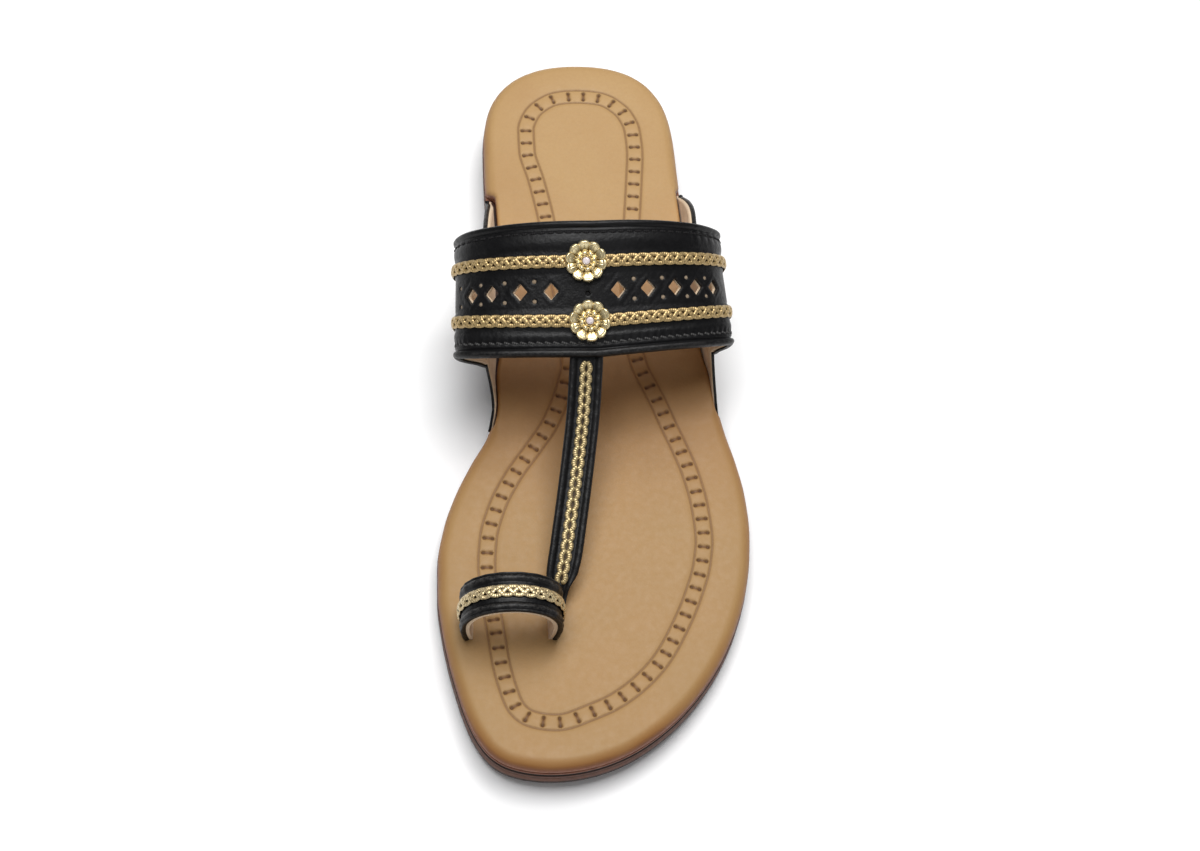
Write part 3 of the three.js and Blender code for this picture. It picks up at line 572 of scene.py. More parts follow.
# ------------------------------------------------------------------ footbed
def ladder_curves():
    rows = np.array(LADDER)
    s0, s1 = rows[0, 0], rows[-1, 0]
    ang = np.arccos(np.clip(1 - 2 * (rows[:, 0] - s0) / (s1 - s0), -1, 1))
    lat, med = curve(ang, rows[:, 2]), curve(ang, rows[:, 1])

    def at(U):
        U = np.mod(U, 2 * PI)
        a = np.where(U <= PI, U, 2 * PI - U)
        return np.where(U <= PI, lat(a), med(a)), s0 + (s1 - s0) * (1 - np.cos(a)) / 2
    return at


ladder_at = ladder_curves()


def ladder_frame(U, e=0.02):
    x, s = ladder_at(U)
    x1, s1 = ladder_at(U + e)
    x0, s0 = ladder_at(U - e)
    l = np.hypot(x1 - x0, s1 - s0)
    return x, s, (s1 - s0) / l, -(x1 - x0) / l


def ear_stand(s):
    """1 at the rear of the lateral ear, that stands off the footbed, 0 further forward."""
    return 1 - smooth((np.asarray(s, float) - 60) / 18)


def ear_skived(s):
    """1 at the front of an ear, where both its layers are pared thin."""
    return smooth((np.asarray(s, float) - 108) / 12)


def ear_window(U):
    """1 where an ear stands beside the footbed, 0 elsewhere."""
    x, s = loop_point(U)
    lat = np.mod(U, 2 * PI) <= PI
    lo = np.where(lat, EAR["lateral"][0][0], EAR["medial"][0][0])
    hi = np.where(lat, EAR["lateral"][-1][0], EAR["medial"][-1][0])
    return smooth((s - lo + 2.4) / 3.4) * smooth((hi + 1.6 - s) / 2.8)


def build_footbed():
    # stations round the ladder: close together at each bar, with a few between
    dense = np.linspace(0, 2 * PI, 6001)
    x, s, nx, ns = ladder_frame(dense)
    mx, ms = x - nx * LADDER_WIDE / 2, s - ns * LADDER_WIDE / 2
    run = np.concatenate([[0], np.cumsum(np.hypot(np.diff(mx), np.diff(ms)))])
    total = run[-1]
    at = np.interp(np.arange(BARS[-1][1] + 1), [r[1] for r in BARS], [r[0] for r in BARS])
    at = at * 1.0
    at[-1] = at[0] + total
    gap = np.diff(at)[:, None]
    offs = np.array([-0.82, -0.52, -0.26, 0.0, 0.26, 0.52, 0.82, 1.3, 2.4, -1.3])[None] + np.zeros_like(gap)
    offs[:, -1] += gap[:, 0]
    arc = np.sort(np.mod((at[:-1, None] + offs).reshape(-1), total))
    U = np.interp(arc, run, dense)
    every = np.concatenate([at[:-1] - total, at[:-1], at[:-1] + total])
    near = np.abs(arc[:, None] - every[None]).argmin(1)
    off = arc - every[near]                                            # distance along to the nearest bar
    n = len(U)
    ox, os_ = loop_point(U)
    onx, ons = loop_normal(U)
    lx, ls, lnx, lns = ladder_frame(U)
    w = ear_window(U)
    lateral = np.mod(U, 2 * PI) <= PI
    inset = w * (2.85 - np.where(lateral, 1.3 * ear_stand(os_), 0.0) - 1.55 * ear_skived(os_))
    rim = FOOTBED_RIM * (1 - w) + 1.3 * w
    # close to the outline the ring keeps the outline's own turn
    ring = []          # x, s, depth, rim, tool, deep, puff
    zero = np.zeros(n)

    def out_ring(proud, depth, rimv, lift=0.0):
        ring.append((ox + onx * (proud - inset), os_ + ons * (proud - inset), depth + zero, rimv + zero, zero, zero, lift + zero, 1.0))
    out_ring(-0.9, FOOTBED_THICK, 1.0)
    out_ring(-0.3, FOOTBED_THICK, 1.0)
    out_ring(-0.06, FOOTBED_THICK - 0.35, 1.0)
    for k in range(10):
        a = PI / 2 * (1 - k / 9)
        ring.append((ox + onx * (-rim * (1 - np.sin(a)) - inset), os_ + ons * (-rim * (1 - np.sin(a)) - inset),
                     rim * (1 - np.cos(a)), 1 - k / 9 * 0.78 + zero, zero, zero, zero, (1.0, 0.8, 0.1)[k] if k < 3 else 0.0))
    # from the rim in to the ladder
    ex, es = ring[-1][0], ring[-1][1]
    for f in (0.16, 0.34, 0.55, 0.75, 0.9):
        ring.append((ex + (lx + lnx * 0.55 - ex) * f, es + (ls + lns * 0.55 - es) * f, zero, 0.22 * (1 - f) ** 1.5 + zero, zero, zero,
                     0.35 * np.sin(PI * f) + zero))
    # the ladder itself
    W = LADDER_WIDE
    for y in (-0.55, -0.3, 0.0, 0.3, 0.55, 0.95, 1.25, 1.6, 2.1, W / 2, W - 2.1, W - 1.6, W - 1.25, W - 0.95, W - 0.55, W - 0.3, W,
              W + 0.3, W + 0.55):
        line = max(float(bump(y, 0.6)), float(bump(y - W, 0.6)))
        inside = 0.55 < y < W - 0.55
        bar = bump(off, 0.84) * (1.0 if inside else 0.0)
        dot = bump(np.hypot(off * 0.9, min(abs(y - 1.32), abs(y - (W - 1.32)))), 0.88)
        side = smooth((np.abs(off) - 0.5) / 1.0) * (bump(y - W / 2, W / 2 - 0.2) if inside else 0.0)
        groove = 0.24 * line + 0.22 * bar + 0.36 * dot
        ring.append((lx - lnx * y, ls - lns * y, groove, zero,
                     np.clip(0.70 * line + 0.95 * bar * (1 - line), 0, 1), np.clip(dot * 0.72, 0, 1), 0.3 * side))
    # and on in to the middle line
    px, ps = ring[-1][0], ring[-1][1]
    a = np.where(U <= PI, U, 2 * PI - U)
    mid_s = 34.0 + (212.0 - 34.0) * (1 - np.cos(a)) / 2
    mate = np.mod(2 * PI - U, 2 * PI)
    mlx, _ = ladder_at(mate)
    mid_x = (lx + mlx) / 2
    # the middle line bends in at both ends so the rows stay square to it
    for f in (0.05, 0.12, 0.25, 0.45, 0.7):
        ring.append((px + (mid_x - px) * f, ps + (mid_s - ps) * f, zero, zero, zero, zero, -0.45 * smooth(f) + zero))
    R = len(ring)
    verts, rimA, tool, deep, stain = [], [], [], [], []
    for (x, s, depth, rv, tl, dp, puff, *st) in ring:
        z = top_level(s) - depth + puff * 0.55
        verts.append(place(x, s, z))
        rimA.append(rv); tool.append(tl); deep.append(dp); stain.append((st[0] if st else 0.0) + zero)
    V = np.stack(verts, 1)                                   # n x R
    quads = grid_faces(n, R, wrap_u=True)
    V = V.reshape(-1, 3)
    # inside ring is closed by triangles from a flat triangulation
    inner = np.arange(n) * R + (R - 1)
    verts2 = [Vector((float(V[k][0] * 1000), float(V[k][1] * 1000))) for k in inner]
    extra, ex3 = [], []
    for i in range(1, 60):
        s = 34 + (212 - 34) * i / 60
        a = math.acos(1 - 2 * (s - 34.0) / 178.0)
        xm = (float(ladder_at(a)[0]) + float(ladder_at(2 * PI - a)[0])) / 2
        extra.append((xm, s))
    for xm, s in extra:
        p = place(xm, s, float(top_level(s)) - 0.25)
        verts2.append(Vector((p[0] * 1000, p[1] * 1000)))
        ex3.append(p)
    edges = [(i, (i + 1) % n) for i in range(n)]
    tri = delaunay_2d_cdt(verts2, edges, [], 1, 1e-6)
    tv, tf, orig = tri[0], tri[2], tri[3]
    base = len(V)
    V = np.vstack([V, np.array(ex3)])
    ids = np.concatenate([inner, base + np.arange(len(ex3))])
    m = [ids[o[0]] if o else None for o in orig]
    tris = np.array([[m[k] for k in f] for f in tf if all(m[k] is not None for k in f)])
    # underside: the first ring closed flat
    under = np.arange(n) * R
    verts3 = [Vector((float(V[k][0] * 1000), float(V[k][1] * 1000))) for k in under]
    tri3 = delaunay_2d_cdt(verts3, edges, [], 1, 1e-6)
    m3 = [under[o[0]] if o else None for o in tri3[3]]
    tris3 = np.array([[m3[k] for k in f] for f in tri3[2] if all(m3[k] is not None for k in f)])
    # all faces outward
    quads = outward_probe(V, quads)
    tris = face_up(V, tris, 1)
    tris3 = face_up(V, tris3, -1)
    extra_n = len(ex3)

    def full(cols, tail=0.0):
        return np.concatenate([np.stack(cols, 1).reshape(-1), np.full(extra_n, tail)])
    s_of = ORIGIN_S - V[:, 1] * 1000
    # painted shade: the leather under and just in front of the band and the strap is darkened where their shadow falls;
    # the forefoot and the rim toward the toe tip are painted darker as shade too
    attrs = dict(rim=full(rimA), tool=full(tool), deep=full(deep), stain=full(stain), forefoot_shade=smooth((s_of - 110) / 40), tip=smooth((s_of - 224) / 20),
                 painted_band_shade=smooth((s_of - 66) / 18) * (1 - smooth((s_of - 126) / 50)))
    ob = make("footbed_cover", V, [quads, np.vstack([tris, tris3])], M_FOOTBED, smooth_angle=50, attrs=attrs, slot="footbed", node="footbed")
    return ob


def face_up(V, tris, sign):
    a, b, c = V[tris[:, 0]], V[tris[:, 1]], V[tris[:, 2]]
    nz = np.cross(b - a, c - a)[:, 2]
    out = tris.copy()
    flip = nz * sign < 0
    out[flip] = out[flip][:, ::-1]
    return out


def outward_probe(V, quads):
    """The strip of quads belongs to a convex-ish ring: its upper part has to face up."""
    a, b, c = V[quads[:, 0]], V[quads[:, 1]], V[quads[:, 2]]
    nz = np.cross(b - a, c - a)[:, 2].sum()
    return quads if nz > 0 else quads[:, ::-1]


build_footbed()


# ------------------------------------------------------------------ sole
def closed_rings(rings, n):
    """Stack of rings of n points into a closed solid; both ends capped by a flat triangulation."""
    V = np.stack(rings, 1).reshape(-1, 3)
    R = len(rings)
    quads = grid_faces(n, R, wrap_u=True)
    caps = []
    for r, sign in ((0, None), (R - 1, None)):
        ids = np.arange(n) * R + r
        p = [Vector((float(V[k][0] * 1000), float(V[k][1] * 1000))) for k in ids]
        tri = delaunay_2d_cdt(p, [(i, (i + 1) % n) for i in range(n)], [], 1, 1e-6)
        mm = [ids[o[0]] if o else None for o in tri[3]]
        caps.append(np.array([[mm[k] for k in f] for f in tri[2] if all(mm[k] is not None for k in f)]))
    return V, quads, caps


def sole_piece(name, profile, material, slot, node, n=560, level=None, window=None):
    """profile rows: proud, depth under the footbed's surface, edge value."""
    U = turns(n)
    ox, os_ = loop_point(U)
    onx, ons = loop_normal(U)
    rings, edge = [], []
    for proud, depth, ev in profile:
        s = os_ + ons * proud
        rings.append(place(ox + onx * proud, s, top_level(s) - depth))
        edge.append(np.full(n, ev))
    V, quads, caps = closed_rings(rings, n)
    # profile runs from the underside up: the quads face out
    c = np.array([0, 0, 0])
    a, b, d = V[quads[:, 0]], V[quads[:, 1]], V[quads[:, 2]]
    nn = np.cross(b - a, d - a)
    if (nn[:, :2] * (a[:, :2] - c[:2])).sum() < 0:
        quads = quads[:, ::-1]
    caps = [face_up(V, caps[0], -1), face_up(V, caps[1], 1)]
    return make(name, V, [quads, np.vstack(caps)], material, smooth_angle=38, attrs=dict(edge=np.stack(edge, 1).reshape(-1)),
                slot=slot, node=node)


def turns(n):
    """n turns round the outline, evenly spaced along it."""
    dense = np.linspace(0, 2 * PI, 4001)
    x, s = loop_point(dense)
    run = np.concatenate([[0], np.cumsum(np.hypot(np.diff(x), np.diff(s)))])
    return np.interp(np.linspace(0, run[-1], n, endpoint=False), run, dense)


P = OUTSOLE_PROUD
# its side is painted darker from the top down, near black at the seam with the outsole: a dark joint, with painted
# shade above it
sole_piece("midsole_edge", [
    (-2.2, MIDSOLE_TOP + MIDSOLE_THICK, 1.0), (MIDSOLE_PROUD - 0.30, MIDSOLE_TOP + MIDSOLE_THICK, 1.0), (MIDSOLE_PROUD, MIDSOLE_TOP + MIDSOLE_THICK - 0.30, 1.0),
    (MIDSOLE_PROUD + 0.02, MIDSOLE_TOP + MIDSOLE_THICK / 2 + 0.2, 0.9), (MIDSOLE_PROUD + 0.04, MIDSOLE_TOP + MIDSOLE_THICK / 2, 0.65),
    (MIDSOLE_PROUD + 0.06, MIDSOLE_TOP + 0.25, 0.3), (MIDSOLE_PROUD - 0.08, MIDSOLE_TOP + 0.03, 0.2),
    (-0.6, MIDSOLE_TOP, 0.0), (-1.2, MIDSOLE_TOP, 0.6), (-2.4, MIDSOLE_TOP + 0.02, 1.0)], M_MIDSOLE, "midsole", "midsole")

# outsole: rounded foot edge, a knurled line along its top edge and a stitched
# channel sunk underneath
# the lowest 2 mm of its side are painted near black: a stained edge and a painted contact shadow
sole_piece("outsole_leather_sole", [
    (-6.6, STACK, 0.0), (-5.3, STACK, 0.0), (-5.0, STACK - 0.12, 0.5), (-4.7, STACK - 0.45, 1.0), (-4.3, STACK - 0.45, 1.0), (-4.0, STACK - 0.12, 0.5),
    (-3.7, STACK, 0.0), (P - 1.1, STACK, 0.1), (P - 0.72, STACK - 0.06, 0.1), (P - 0.38, STACK - 0.24, 1.0), (P - 0.12, STACK - 0.55, 1.0),
    (P - 0.01, STACK - 0.9, 1.0), (P + 0.01, STACK - 1.7, 1.0), (P + 0.02, STACK - 2.2, 0.35), (P + 0.02, STACK - 2.6, 0.0), (P, OUTSOLE_TOP + 1.75, 0.0), (P - 0.16, OUTSOLE_TOP + 1.5, 0.9),
    (P - 0.16, OUTSOLE_TOP + 1.35, 0.9), (P, OUTSOLE_TOP + 1.1, 0.0), (P, OUTSOLE_TOP + 0.6, 0.0), (P - 0.16, OUTSOLE_TOP + 0.3, 1.0),
    (P - 0.50, OUTSOLE_TOP, 1.0), (-1.4, OUTSOLE_TOP, 1.0), (-2.4, OUTSOLE_TOP, 1.0)], M_OUTSOLE, "outsole", "outsole")


def sole_stitches():
    b = Batch()
    dense = np.linspace(0, 2 * PI, 4001)
    x, s = loop_point(dense)
    nx, ns = loop_normal(dense)
    x, s = x - nx * 4.5, s - ns * 4.5
    run = np.concatenate([[0], np.cumsum(np.hypot(np.diff(x), np.diff(s)))])
    count = int(run[-1] / 4.4)
    for i in range(count):
        d = (np.linspace(0.12, 0.82, 7) + i) * run[-1] / count
        px, ps = np.interp(d, run, x), np.interp(d, run, s)
        if ps.min() < HEEL_BREAST + 6:
            continue
        sag = np.sin(np.linspace(0, PI, 7))
        path = place(px, ps, top_level(ps) - STACK + 0.36 - 0.14 * sag)
        v, q, t = tube(path, np.array([0, 0, -1.0]), 0.00042, 0.00024 * (0.5 + 0.5 * sag), 6)
        b.add(v, q, t, lay=np.linspace(0, 2.6, len(v)))
    b.make("sole_stitching", M_THREAD, slot="thread")


sole_stitches()


def heel_lift():
    """The lifts under the heel: the outline's back, with a hollow breast."""
    n = 90
    last = float(angle_of(HEEL_BREAST))
    i = np.arange(n + 1)
    a = last * (i / n) ** 0.9

    def side_row(side, proud, zf, back):
        e = 1e-3
        x1, x0 = side_of[side](a + e), side_of[side](np.maximum(a - e, 0))
        s1, s0 = station_of(a + e), station_of(np.maximum(a - e, 0))
        l = np.hypot(x1 - x0, s1 - s0)
        sg = 1 if side == "lateral" else -1
        nx, ns = sg * (s1 - s0) / l, -sg * (x1 - x0) / l
        nx[0], ns[0] = 0, -1
        s = station_of(a) + ns * proud - back * (a / last) ** 12
        return side_of[side](a) + nx * proud, s, zf(s)

    rows, edges = [], []
    top_z = lambda s: top_level(s) - STACK - GAP
    def level(f):
        return lambda s: f * top_z(s)
    full = [(-0.9, 0.0, BREAST_LEAN, 0.2, lambda s: 0 * s), (-0.55, 0.0, BREAST_LEAN, 0.1, lambda s: 0 * s + 0.06), (-0.18, 0.0, BREAST_LEAN, 0.0, lambda s: 0 * s + 0.35)]
    out = [(r[0], r[2], r[3], r[4]) for r in full]
    for f, dp, ev in ((0.12, 0.0, 0.0), (0.30, 0.0, 0.0), (0.33, -0.22, 1.0), (0.35, -0.22, 1.0), (0.38, 0.0, 0.0), (0.62, 0.02, 0.0), (0.65, -0.2, 1.0),
                      (0.67, -0.2, 1.0), (0.70, 0.02, 0.0), (0.93, 0.0, 0.0), (0.985, -0.25, 0.3), (1.0, -0.6, 0.8)):
        out.append((dp + (HEEL_TAPER - 0.2) * f, BREAST_LEAN * (1 - f), ev, level(f)))
    for proud, back, ev, zf in out:
        pr = OUTSOLE_PROUD - HEEL_TAPER + proud
        lx, ls, lz = side_row("lateral", pr, zf, back)
        mx, ms, mz = side_row("medial", pr, zf, back)
        u = np.arange(1, 40) / 40
        bx = lx[-1] + (mx[-1] - lx[-1]) * u
        # the breast sets in by the lift seams as the sides do
        bs = ls[-1] + (ms[-1] - ls[-1]) * u - 3.0 * 4 * u * (1 - u) + min(0.0, proud + 0.0) * 0.4
        bz = zf(bs)
        x = np.concatenate([lx, bx, mx[:0:-1]])
        s = np.concatenate([ls, bs, ms[:0:-1]])
        z = np.concatenate([lz, bz, mz[:0:-1]])
        rows.append(place(x, s, z))
        edges.append(np.full(len(x), ev))
    N = len(rows[0])
    V, quads, caps = closed_rings(rows, N)
    a0, b0, d0 = V[quads[:, 0]], V[quads[:, 1]], V[quads[:, 2]]
    nn = np.cross(b0 - a0, d0 - a0)
    c = np.array([0.0, 0.094])
    if (nn[:, :2] * (a0[:, :2] - c)).sum() < 0:
        quads = quads[:, ::-1]
    caps = [face_up(V, caps[0], -1), face_up(V, caps[1], 1)]
    make("heel_lifts", V, [quads, np.vstack(caps)], M_HEEL, smooth_angle=38, attrs=dict(edge=np.stack(edges, 1).reshape(-1)),
         slot="heel", node="heel")


heel_lift()


# ------------------------------------------------------------------ camera, light, floor
def studio():
    fl = floor_paper()
    n = 24
    g = np.linspace(-1, 1, n)
    X, Y = np.meshgrid(g * 3.0, g * 3.0, indexing="ij")
    V = np.stack([X, Y, np.zeros_like(X) - 0.0001], -1).reshape(-1, 3)
    me = bpy.data.meshes.new("floor")
    me.from_pydata([tuple(v) for v in V], [], [tuple(int(k) for k in f) for f in grid_faces(n, n)])
    me.update()
    ob = bpy.data.objects.new("floor", me)
    scene.collection.objects.link(ob)
    me.materials.append(fl)

    w = bpy.data.worlds.new("studio")
    scene.world = w
    w.use_nodes = True
    bg = w.node_tree.nodes["Background"]
    bg.inputs[0].default_value = (0.97, 0.985, 1.0, 1)
    bg.inputs[1].default_value = 0.14

    def area(name, at, aim, size, power, colour=(1, 1, 1), size_y=None):
        l = bpy.data.lights.new(name, "AREA")
        l.shape = "RECTANGLE"
        l.size, l.size_y = size, size_y or size
        l.energy = power
        l.color = colour
        o = bpy.data.objects.new(name, l)
        scene.collection.objects.link(o)
        o.location = at
        d = Vector(aim) - Vector(at)
        o.rotation_euler = d.to_track_quat("-Z", "Y").to_euler()
        o.visible_camera = False
        return o
    area("key", (0.12, 0.46, 0.92), (0, 0.0, 0.02), 0.60, 3.8, (1.0, 0.99, 0.97), 0.45)
    area("top", (-0.04, 0.10, 1.08), (0, 0, 0.02), 0.95, 10.4, (1.0, 1.0, 1.0), 0.55)
    area("front", (0.15, -0.95, 0.75), (0, -0.02, 0.03), 1.0, 1.7, (0.97, 0.985, 1.0), 0.7)

    cam = bpy.data.cameras.new("camera")
    co = bpy.data.objects.new("camera", cam)
    scene.collection.objects.link(co)
    scene.camera = co
    # the taking camera stood here and looked steeply down at a pair; this one
    # stands in the same place and turns to the one shoe
    eye = Vector((-(49.266 + ORIGIN_X) * 0.001, (ORIGIN_S - 500.59) * 0.001, 0.6584))
    pitch = math.radians(60)
    fwd0 = Vector((0, math.cos(pitch), -math.sin(pitch)))
    right0 = Vector((1, 0, 0))
    down0 = Vector((0, -math.sin(pitch), -math.cos(pitch)))
    f = 1176.0
    aim = (fwd0 + right0 * ((683.0 - 599.75) / f) + down0 * ((436.5 - 425.5) / f)).normalized()
    # roll: the shoe's length keeps the slant it had in the frame
    toe, heel = Vector((0.0, -0.12, 0.013)), Vector((0.0, 0.12, 0.02))

    def shown(p, fw, rt, dn):
        d = p - eye
        return Vector((d.dot(rt) / d.dot(fw), d.dot(dn) / d.dot(fw)))
    a0 = shown(toe, fwd0, right0, down0) - shown(heel, fwd0, right0, down0)
    rt = aim.cross(Vector((0, 0, 1))).normalized()
    dn = aim.cross(rt).normalized()
    a1 = shown(toe, aim, rt, dn) - shown(heel, aim, rt, dn)
    turn = math.atan2(a1.y, a1.x) - math.atan2(a0.y, a0.x)
    rt2 = (rt * math.cos(turn) + dn * math.sin(turn)).normalized()
    dn2 = aim.cross(rt2).normalized()
    m = Matrix((rt2, -dn2, -aim)).transposed().to_4x4()
    m.translation = eye
    co.matrix_world = m
    cam.sensor_width = 36.0
    cam.lens = 1176.0 / 1200.0 * 36.0 * 2.02
    cam.clip_start, cam.clip_end = 0.01, 20
    vs = scene.view_settings
    vs.view_transform = "Standard"
    vs.look = "None"


studio()
# ------------------------------------------------------------------ upper
def ear_lean(side, s):
    a, b = EAR_LEAN[side]
    return a + (b - a) * np.clip((np.asarray(s, float) - 55) / 70, 0, 1)


def ear_x(side, s, z, extra):
    sign = -1 if side == "medial" else 1
    return outline_x(side, s) + sign * (EAR_SET[side] + extra + ear_lean(side, s) * np.maximum(z - top_level(s), 0))


def band_edge(row, q):
    """x, s, z of one edge of the band at shares q of the arch, -1 medial to 1 lateral."""
    q = np.asarray(q, float)
    sign = np.where(q < 0, -1.0, 1.0)
    u = np.abs(q)
    power = 2 / BAND_POWER
    a = PI / 2 * np.clip(u / BAND_TURN, 0, 1)
    drop = lambda x, z: row["top"] - row["lean"] * (row["height"] - z) - row["skew"] * np.maximum(x - row["centre"], 0)
    x = row["centre"] + sign * row["wide"] * np.sin(a) ** power
    z = row["waist"] + (row["height"] - row["waist"]) * np.maximum(np.cos(a), 0) ** power
    s = drop(x, z)
    # below the waist it turns in and lies down along the ear
    out = np.stack([x, s, z], -1)
    fall, z1 = row["waist"] - row["foot"], row["foot"]
    for side, sg in (("medial", -1), ("lateral", 1)):
        m = (u > BAND_TURN) & (sign == sg)
        if not m.any():
            continue
        v = ((u - BAND_TURN) / (1 - BAND_TURN))[m][:, None]
        x0, z0 = row["centre"] + sg * row["wide"], row["waist"]
        s0 = float(drop(np.array(x0), z0))
        s1 = s0 - 0.2 * fall
        x1 = float(ear_x(side, s1, z1, LAP_OUT))
        ln = sg * float(ear_lean(side, s1))
        p = np.array([[x0, s0, z0], [x0, s0 - 0.1 * fall, z0 - 0.55 * fall], [x1 + ln * 0.4 * fall, s1 + 0.1 * fall, z1 + 0.4 * fall], [x1, s1, z1]])
        out[m] = (1 - v) ** 3 * p[0] + 3 * (1 - v) ** 2 * v * p[1] + 3 * (1 - v) * v * v * p[2] + v ** 3 * p[3]
    return out


def band_point(t, q):
    t = np.asarray(t, float)[..., None]
    return band_edge(BAND["rear"], q) * (1 - t) + band_edge(BAND["front"], q) * t


def band_frame(t, q, e=2e-3):
    t, q = np.broadcast_arrays(np.asarray(t, float), np.asarray(q, float))
    qq = np.clip(q, -1 + e, 1 - e)
    du = band_point(t, qq + e) - band_point(t, qq - e)
    dt = band_edge(BAND["front"], qq) - band_edge(BAND["rear"], qq)
    n = np.cross(du, dt)
    n = unit(n)
    flip = 1.0
    ref = np.cross(band_point(0.5, np.array([e])) - band_point(0.5, np.array([-e])),
                   band_edge(BAND["front"], np.array([0.0])) - band_edge(BAND["rear"], np.array([0.0])))[0]
    if ref[2] < 0:
        flip = -1.0
    return du / (2 * e), dt, n * flip


def on_band(t, q, off):
    _, _, n = band_frame(t, q)
    t, q = np.broadcast_arrays(np.asarray(t, float), np.asarray(q, float))
    p = band_point(t, q) + n * np.asarray(off, float)[..., None]
    return place(p[..., 0], p[..., 1], p[..., 2])


def arch_at(t, x):
    lo, hi = -BAND_TURN, BAND_TURN
    for _ in range(40):
        mid = (lo + hi) / 2
        if float(band_point(t, np.array([mid]))[0][0]) < x:
            lo = mid
        else:
            hi = mid
    return (lo + hi) / 2


# run along the band's middle line, in mm from the crown
_q = np.linspace(-1, 1, 2001)
_p = band_point(0.5, _q)
_run = np.concatenate([[0], np.cumsum(np.linalg.norm(np.diff(_p, axis=0), axis=1))])
_run -= np.interp(0.0, _q, _run)
BAND_LO, BAND_HI = _run[0], _run[-1]
run_of = lambda q: np.interp(q, _q, _run)
arch_of = lambda r: np.interp(r, _run, _q)
BAND_DEEP = 41.4         # rear edge to front edge over the crown

# rows down the band that relief follows, as share of it from the rear edge
REAR_ROLL, FRONT_ROLL = 1.9, 2.3


def bow(t, q):
    """Rows that run with the braids bow back a little toward the sides."""
    return np.asarray(t, float) + BRAID_BOW * (np.asarray(q, float) / BAND_TURN) ** 2


DIAMONDS = []
for _x in DIAMOND_X:
    _qd = arch_at(DIAMOND_ACROSS, _x)
    DIAMONDS.append(float(run_of(_qd)))
EYELETS = [-40.6, -34.6, -27.4, -18.4, 12.0, 20.9, 28.7, 34.9]   # x of the pairs of small punched holes
EYELET_RUN = [float(run_of(arch_at(0.515, x))) for x in EYELETS]
EYELET_OUT = 3.05
DARK_HOLE = (float(run_of(arch_at(0.532, -2.2))), 0.532 * BAND_DEEP)     # the one between the rosettes


def band_relief(T, R):
    """Height of the band's face over its plain surface. T mm from the rear edge, R mm along the arch."""
    h = np.zeros(np.broadcast(T, R).shape)
    F = BAND_DEEP - T
    Tb = T + BRAID_BOW * BAND_DEEP * (np.interp(R, _run, _q) / BAND_TURN) ** 2      # measured with the braids' bow
    # rolled rear edge, groove, stitched ditch
    h += 0.42 * np.sqrt(np.clip(1 - ((T - REAR_ROLL / 2) / (REAR_ROLL / 2)) ** 2, 0, 1))
    h -= 0.30 * bump(T - 2.25, 0.55)
    h -= 0.16 * bump(T - 3.6, 0.7)
    # piped front edge
    h += 0.62 * np.sqrt(np.clip(1 - ((F - FRONT_ROLL / 2) / (FRONT_ROLL / 2)) ** 2, 0, 1))
    h -= 0.38 * bump(F - 2.65, 0.55)
    h -= 0.14 * bump(F - 4.3, 0.8)
    h -= 0.22 * bump(F - 4.9, 2.0) * np.clip(np.sin(2 * PI * R / 2.5), 0, 1) ** 1.5 * (1 - step(50, 56, np.abs(R)))
    # strips padded between the seams
    h += 0.28 * np.clip(np.sin(PI * (Tb - 4.4) / 4.6), 0, 1) * ((Tb > 4.4) & (Tb < 9.0))
    for c in (9.35, 15.5, 27.4, 33.6):
        h -= 0.26 * bump(Tb - c, 0.45)
    h += 0.22 * np.clip(np.sin(PI * (Tb - 34.0) / 3.0), 0, 1) * ((Tb > 34.0) & (Tb < 37.0))
    # the cut-out panel between the braids is thinner leather, a little lower
    h -= 0.22 * (step(15.4, 16.0, Tb) - step(27.0, 27.6, Tb))
    # embossed lattice between the diamonds
    c = DIAMOND_ACROSS * BAND_DEEP
    y = T - c
    for i, r0 in enumerate(DIAMONDS):
        h += 0.07 * bump((np.abs(R - r0) / (DIAMOND_WIDE / 2) + np.abs(y) / (DIAMOND_LONG / 2) - 1.42) * 1.85, 0.8) * (np.abs(y) < 5.4)
        h -= 0.07 * bump((np.abs(R - r0) / (DIAMOND_WIDE / 2) + np.abs(y) / (DIAMOND_LONG / 2) - 2.02) * 1.85, 0.42) * (np.abs(y) < 5.0)
    # soft creases: leather eases over the arch, and puckers at the ends
    h += 0.10 * np.sin(R * 0.43 + T * 0.18) * np.exp(-((np.abs(R) - 44) / 18.0) ** 2)
    lat = step(26, 34, R) * (1 - step(52, 60, R))
    h -= 0.26 * lat * bump(T - 3.8, 3.4) * np.clip(np.sin(2 * PI * (R - 26) / 3.1), 0, 1) ** 1.5
    med = step(-58, -52, R) * (1 - step(-46, -40, R))
    h -= 0.18 * med * bump(T - 3.6, 3.0) * np.clip(np.sin(2 * PI * (R + 26) / 3.4), 0, 1) ** 1.5
    # ends thin out where they lie on the ears
    return h


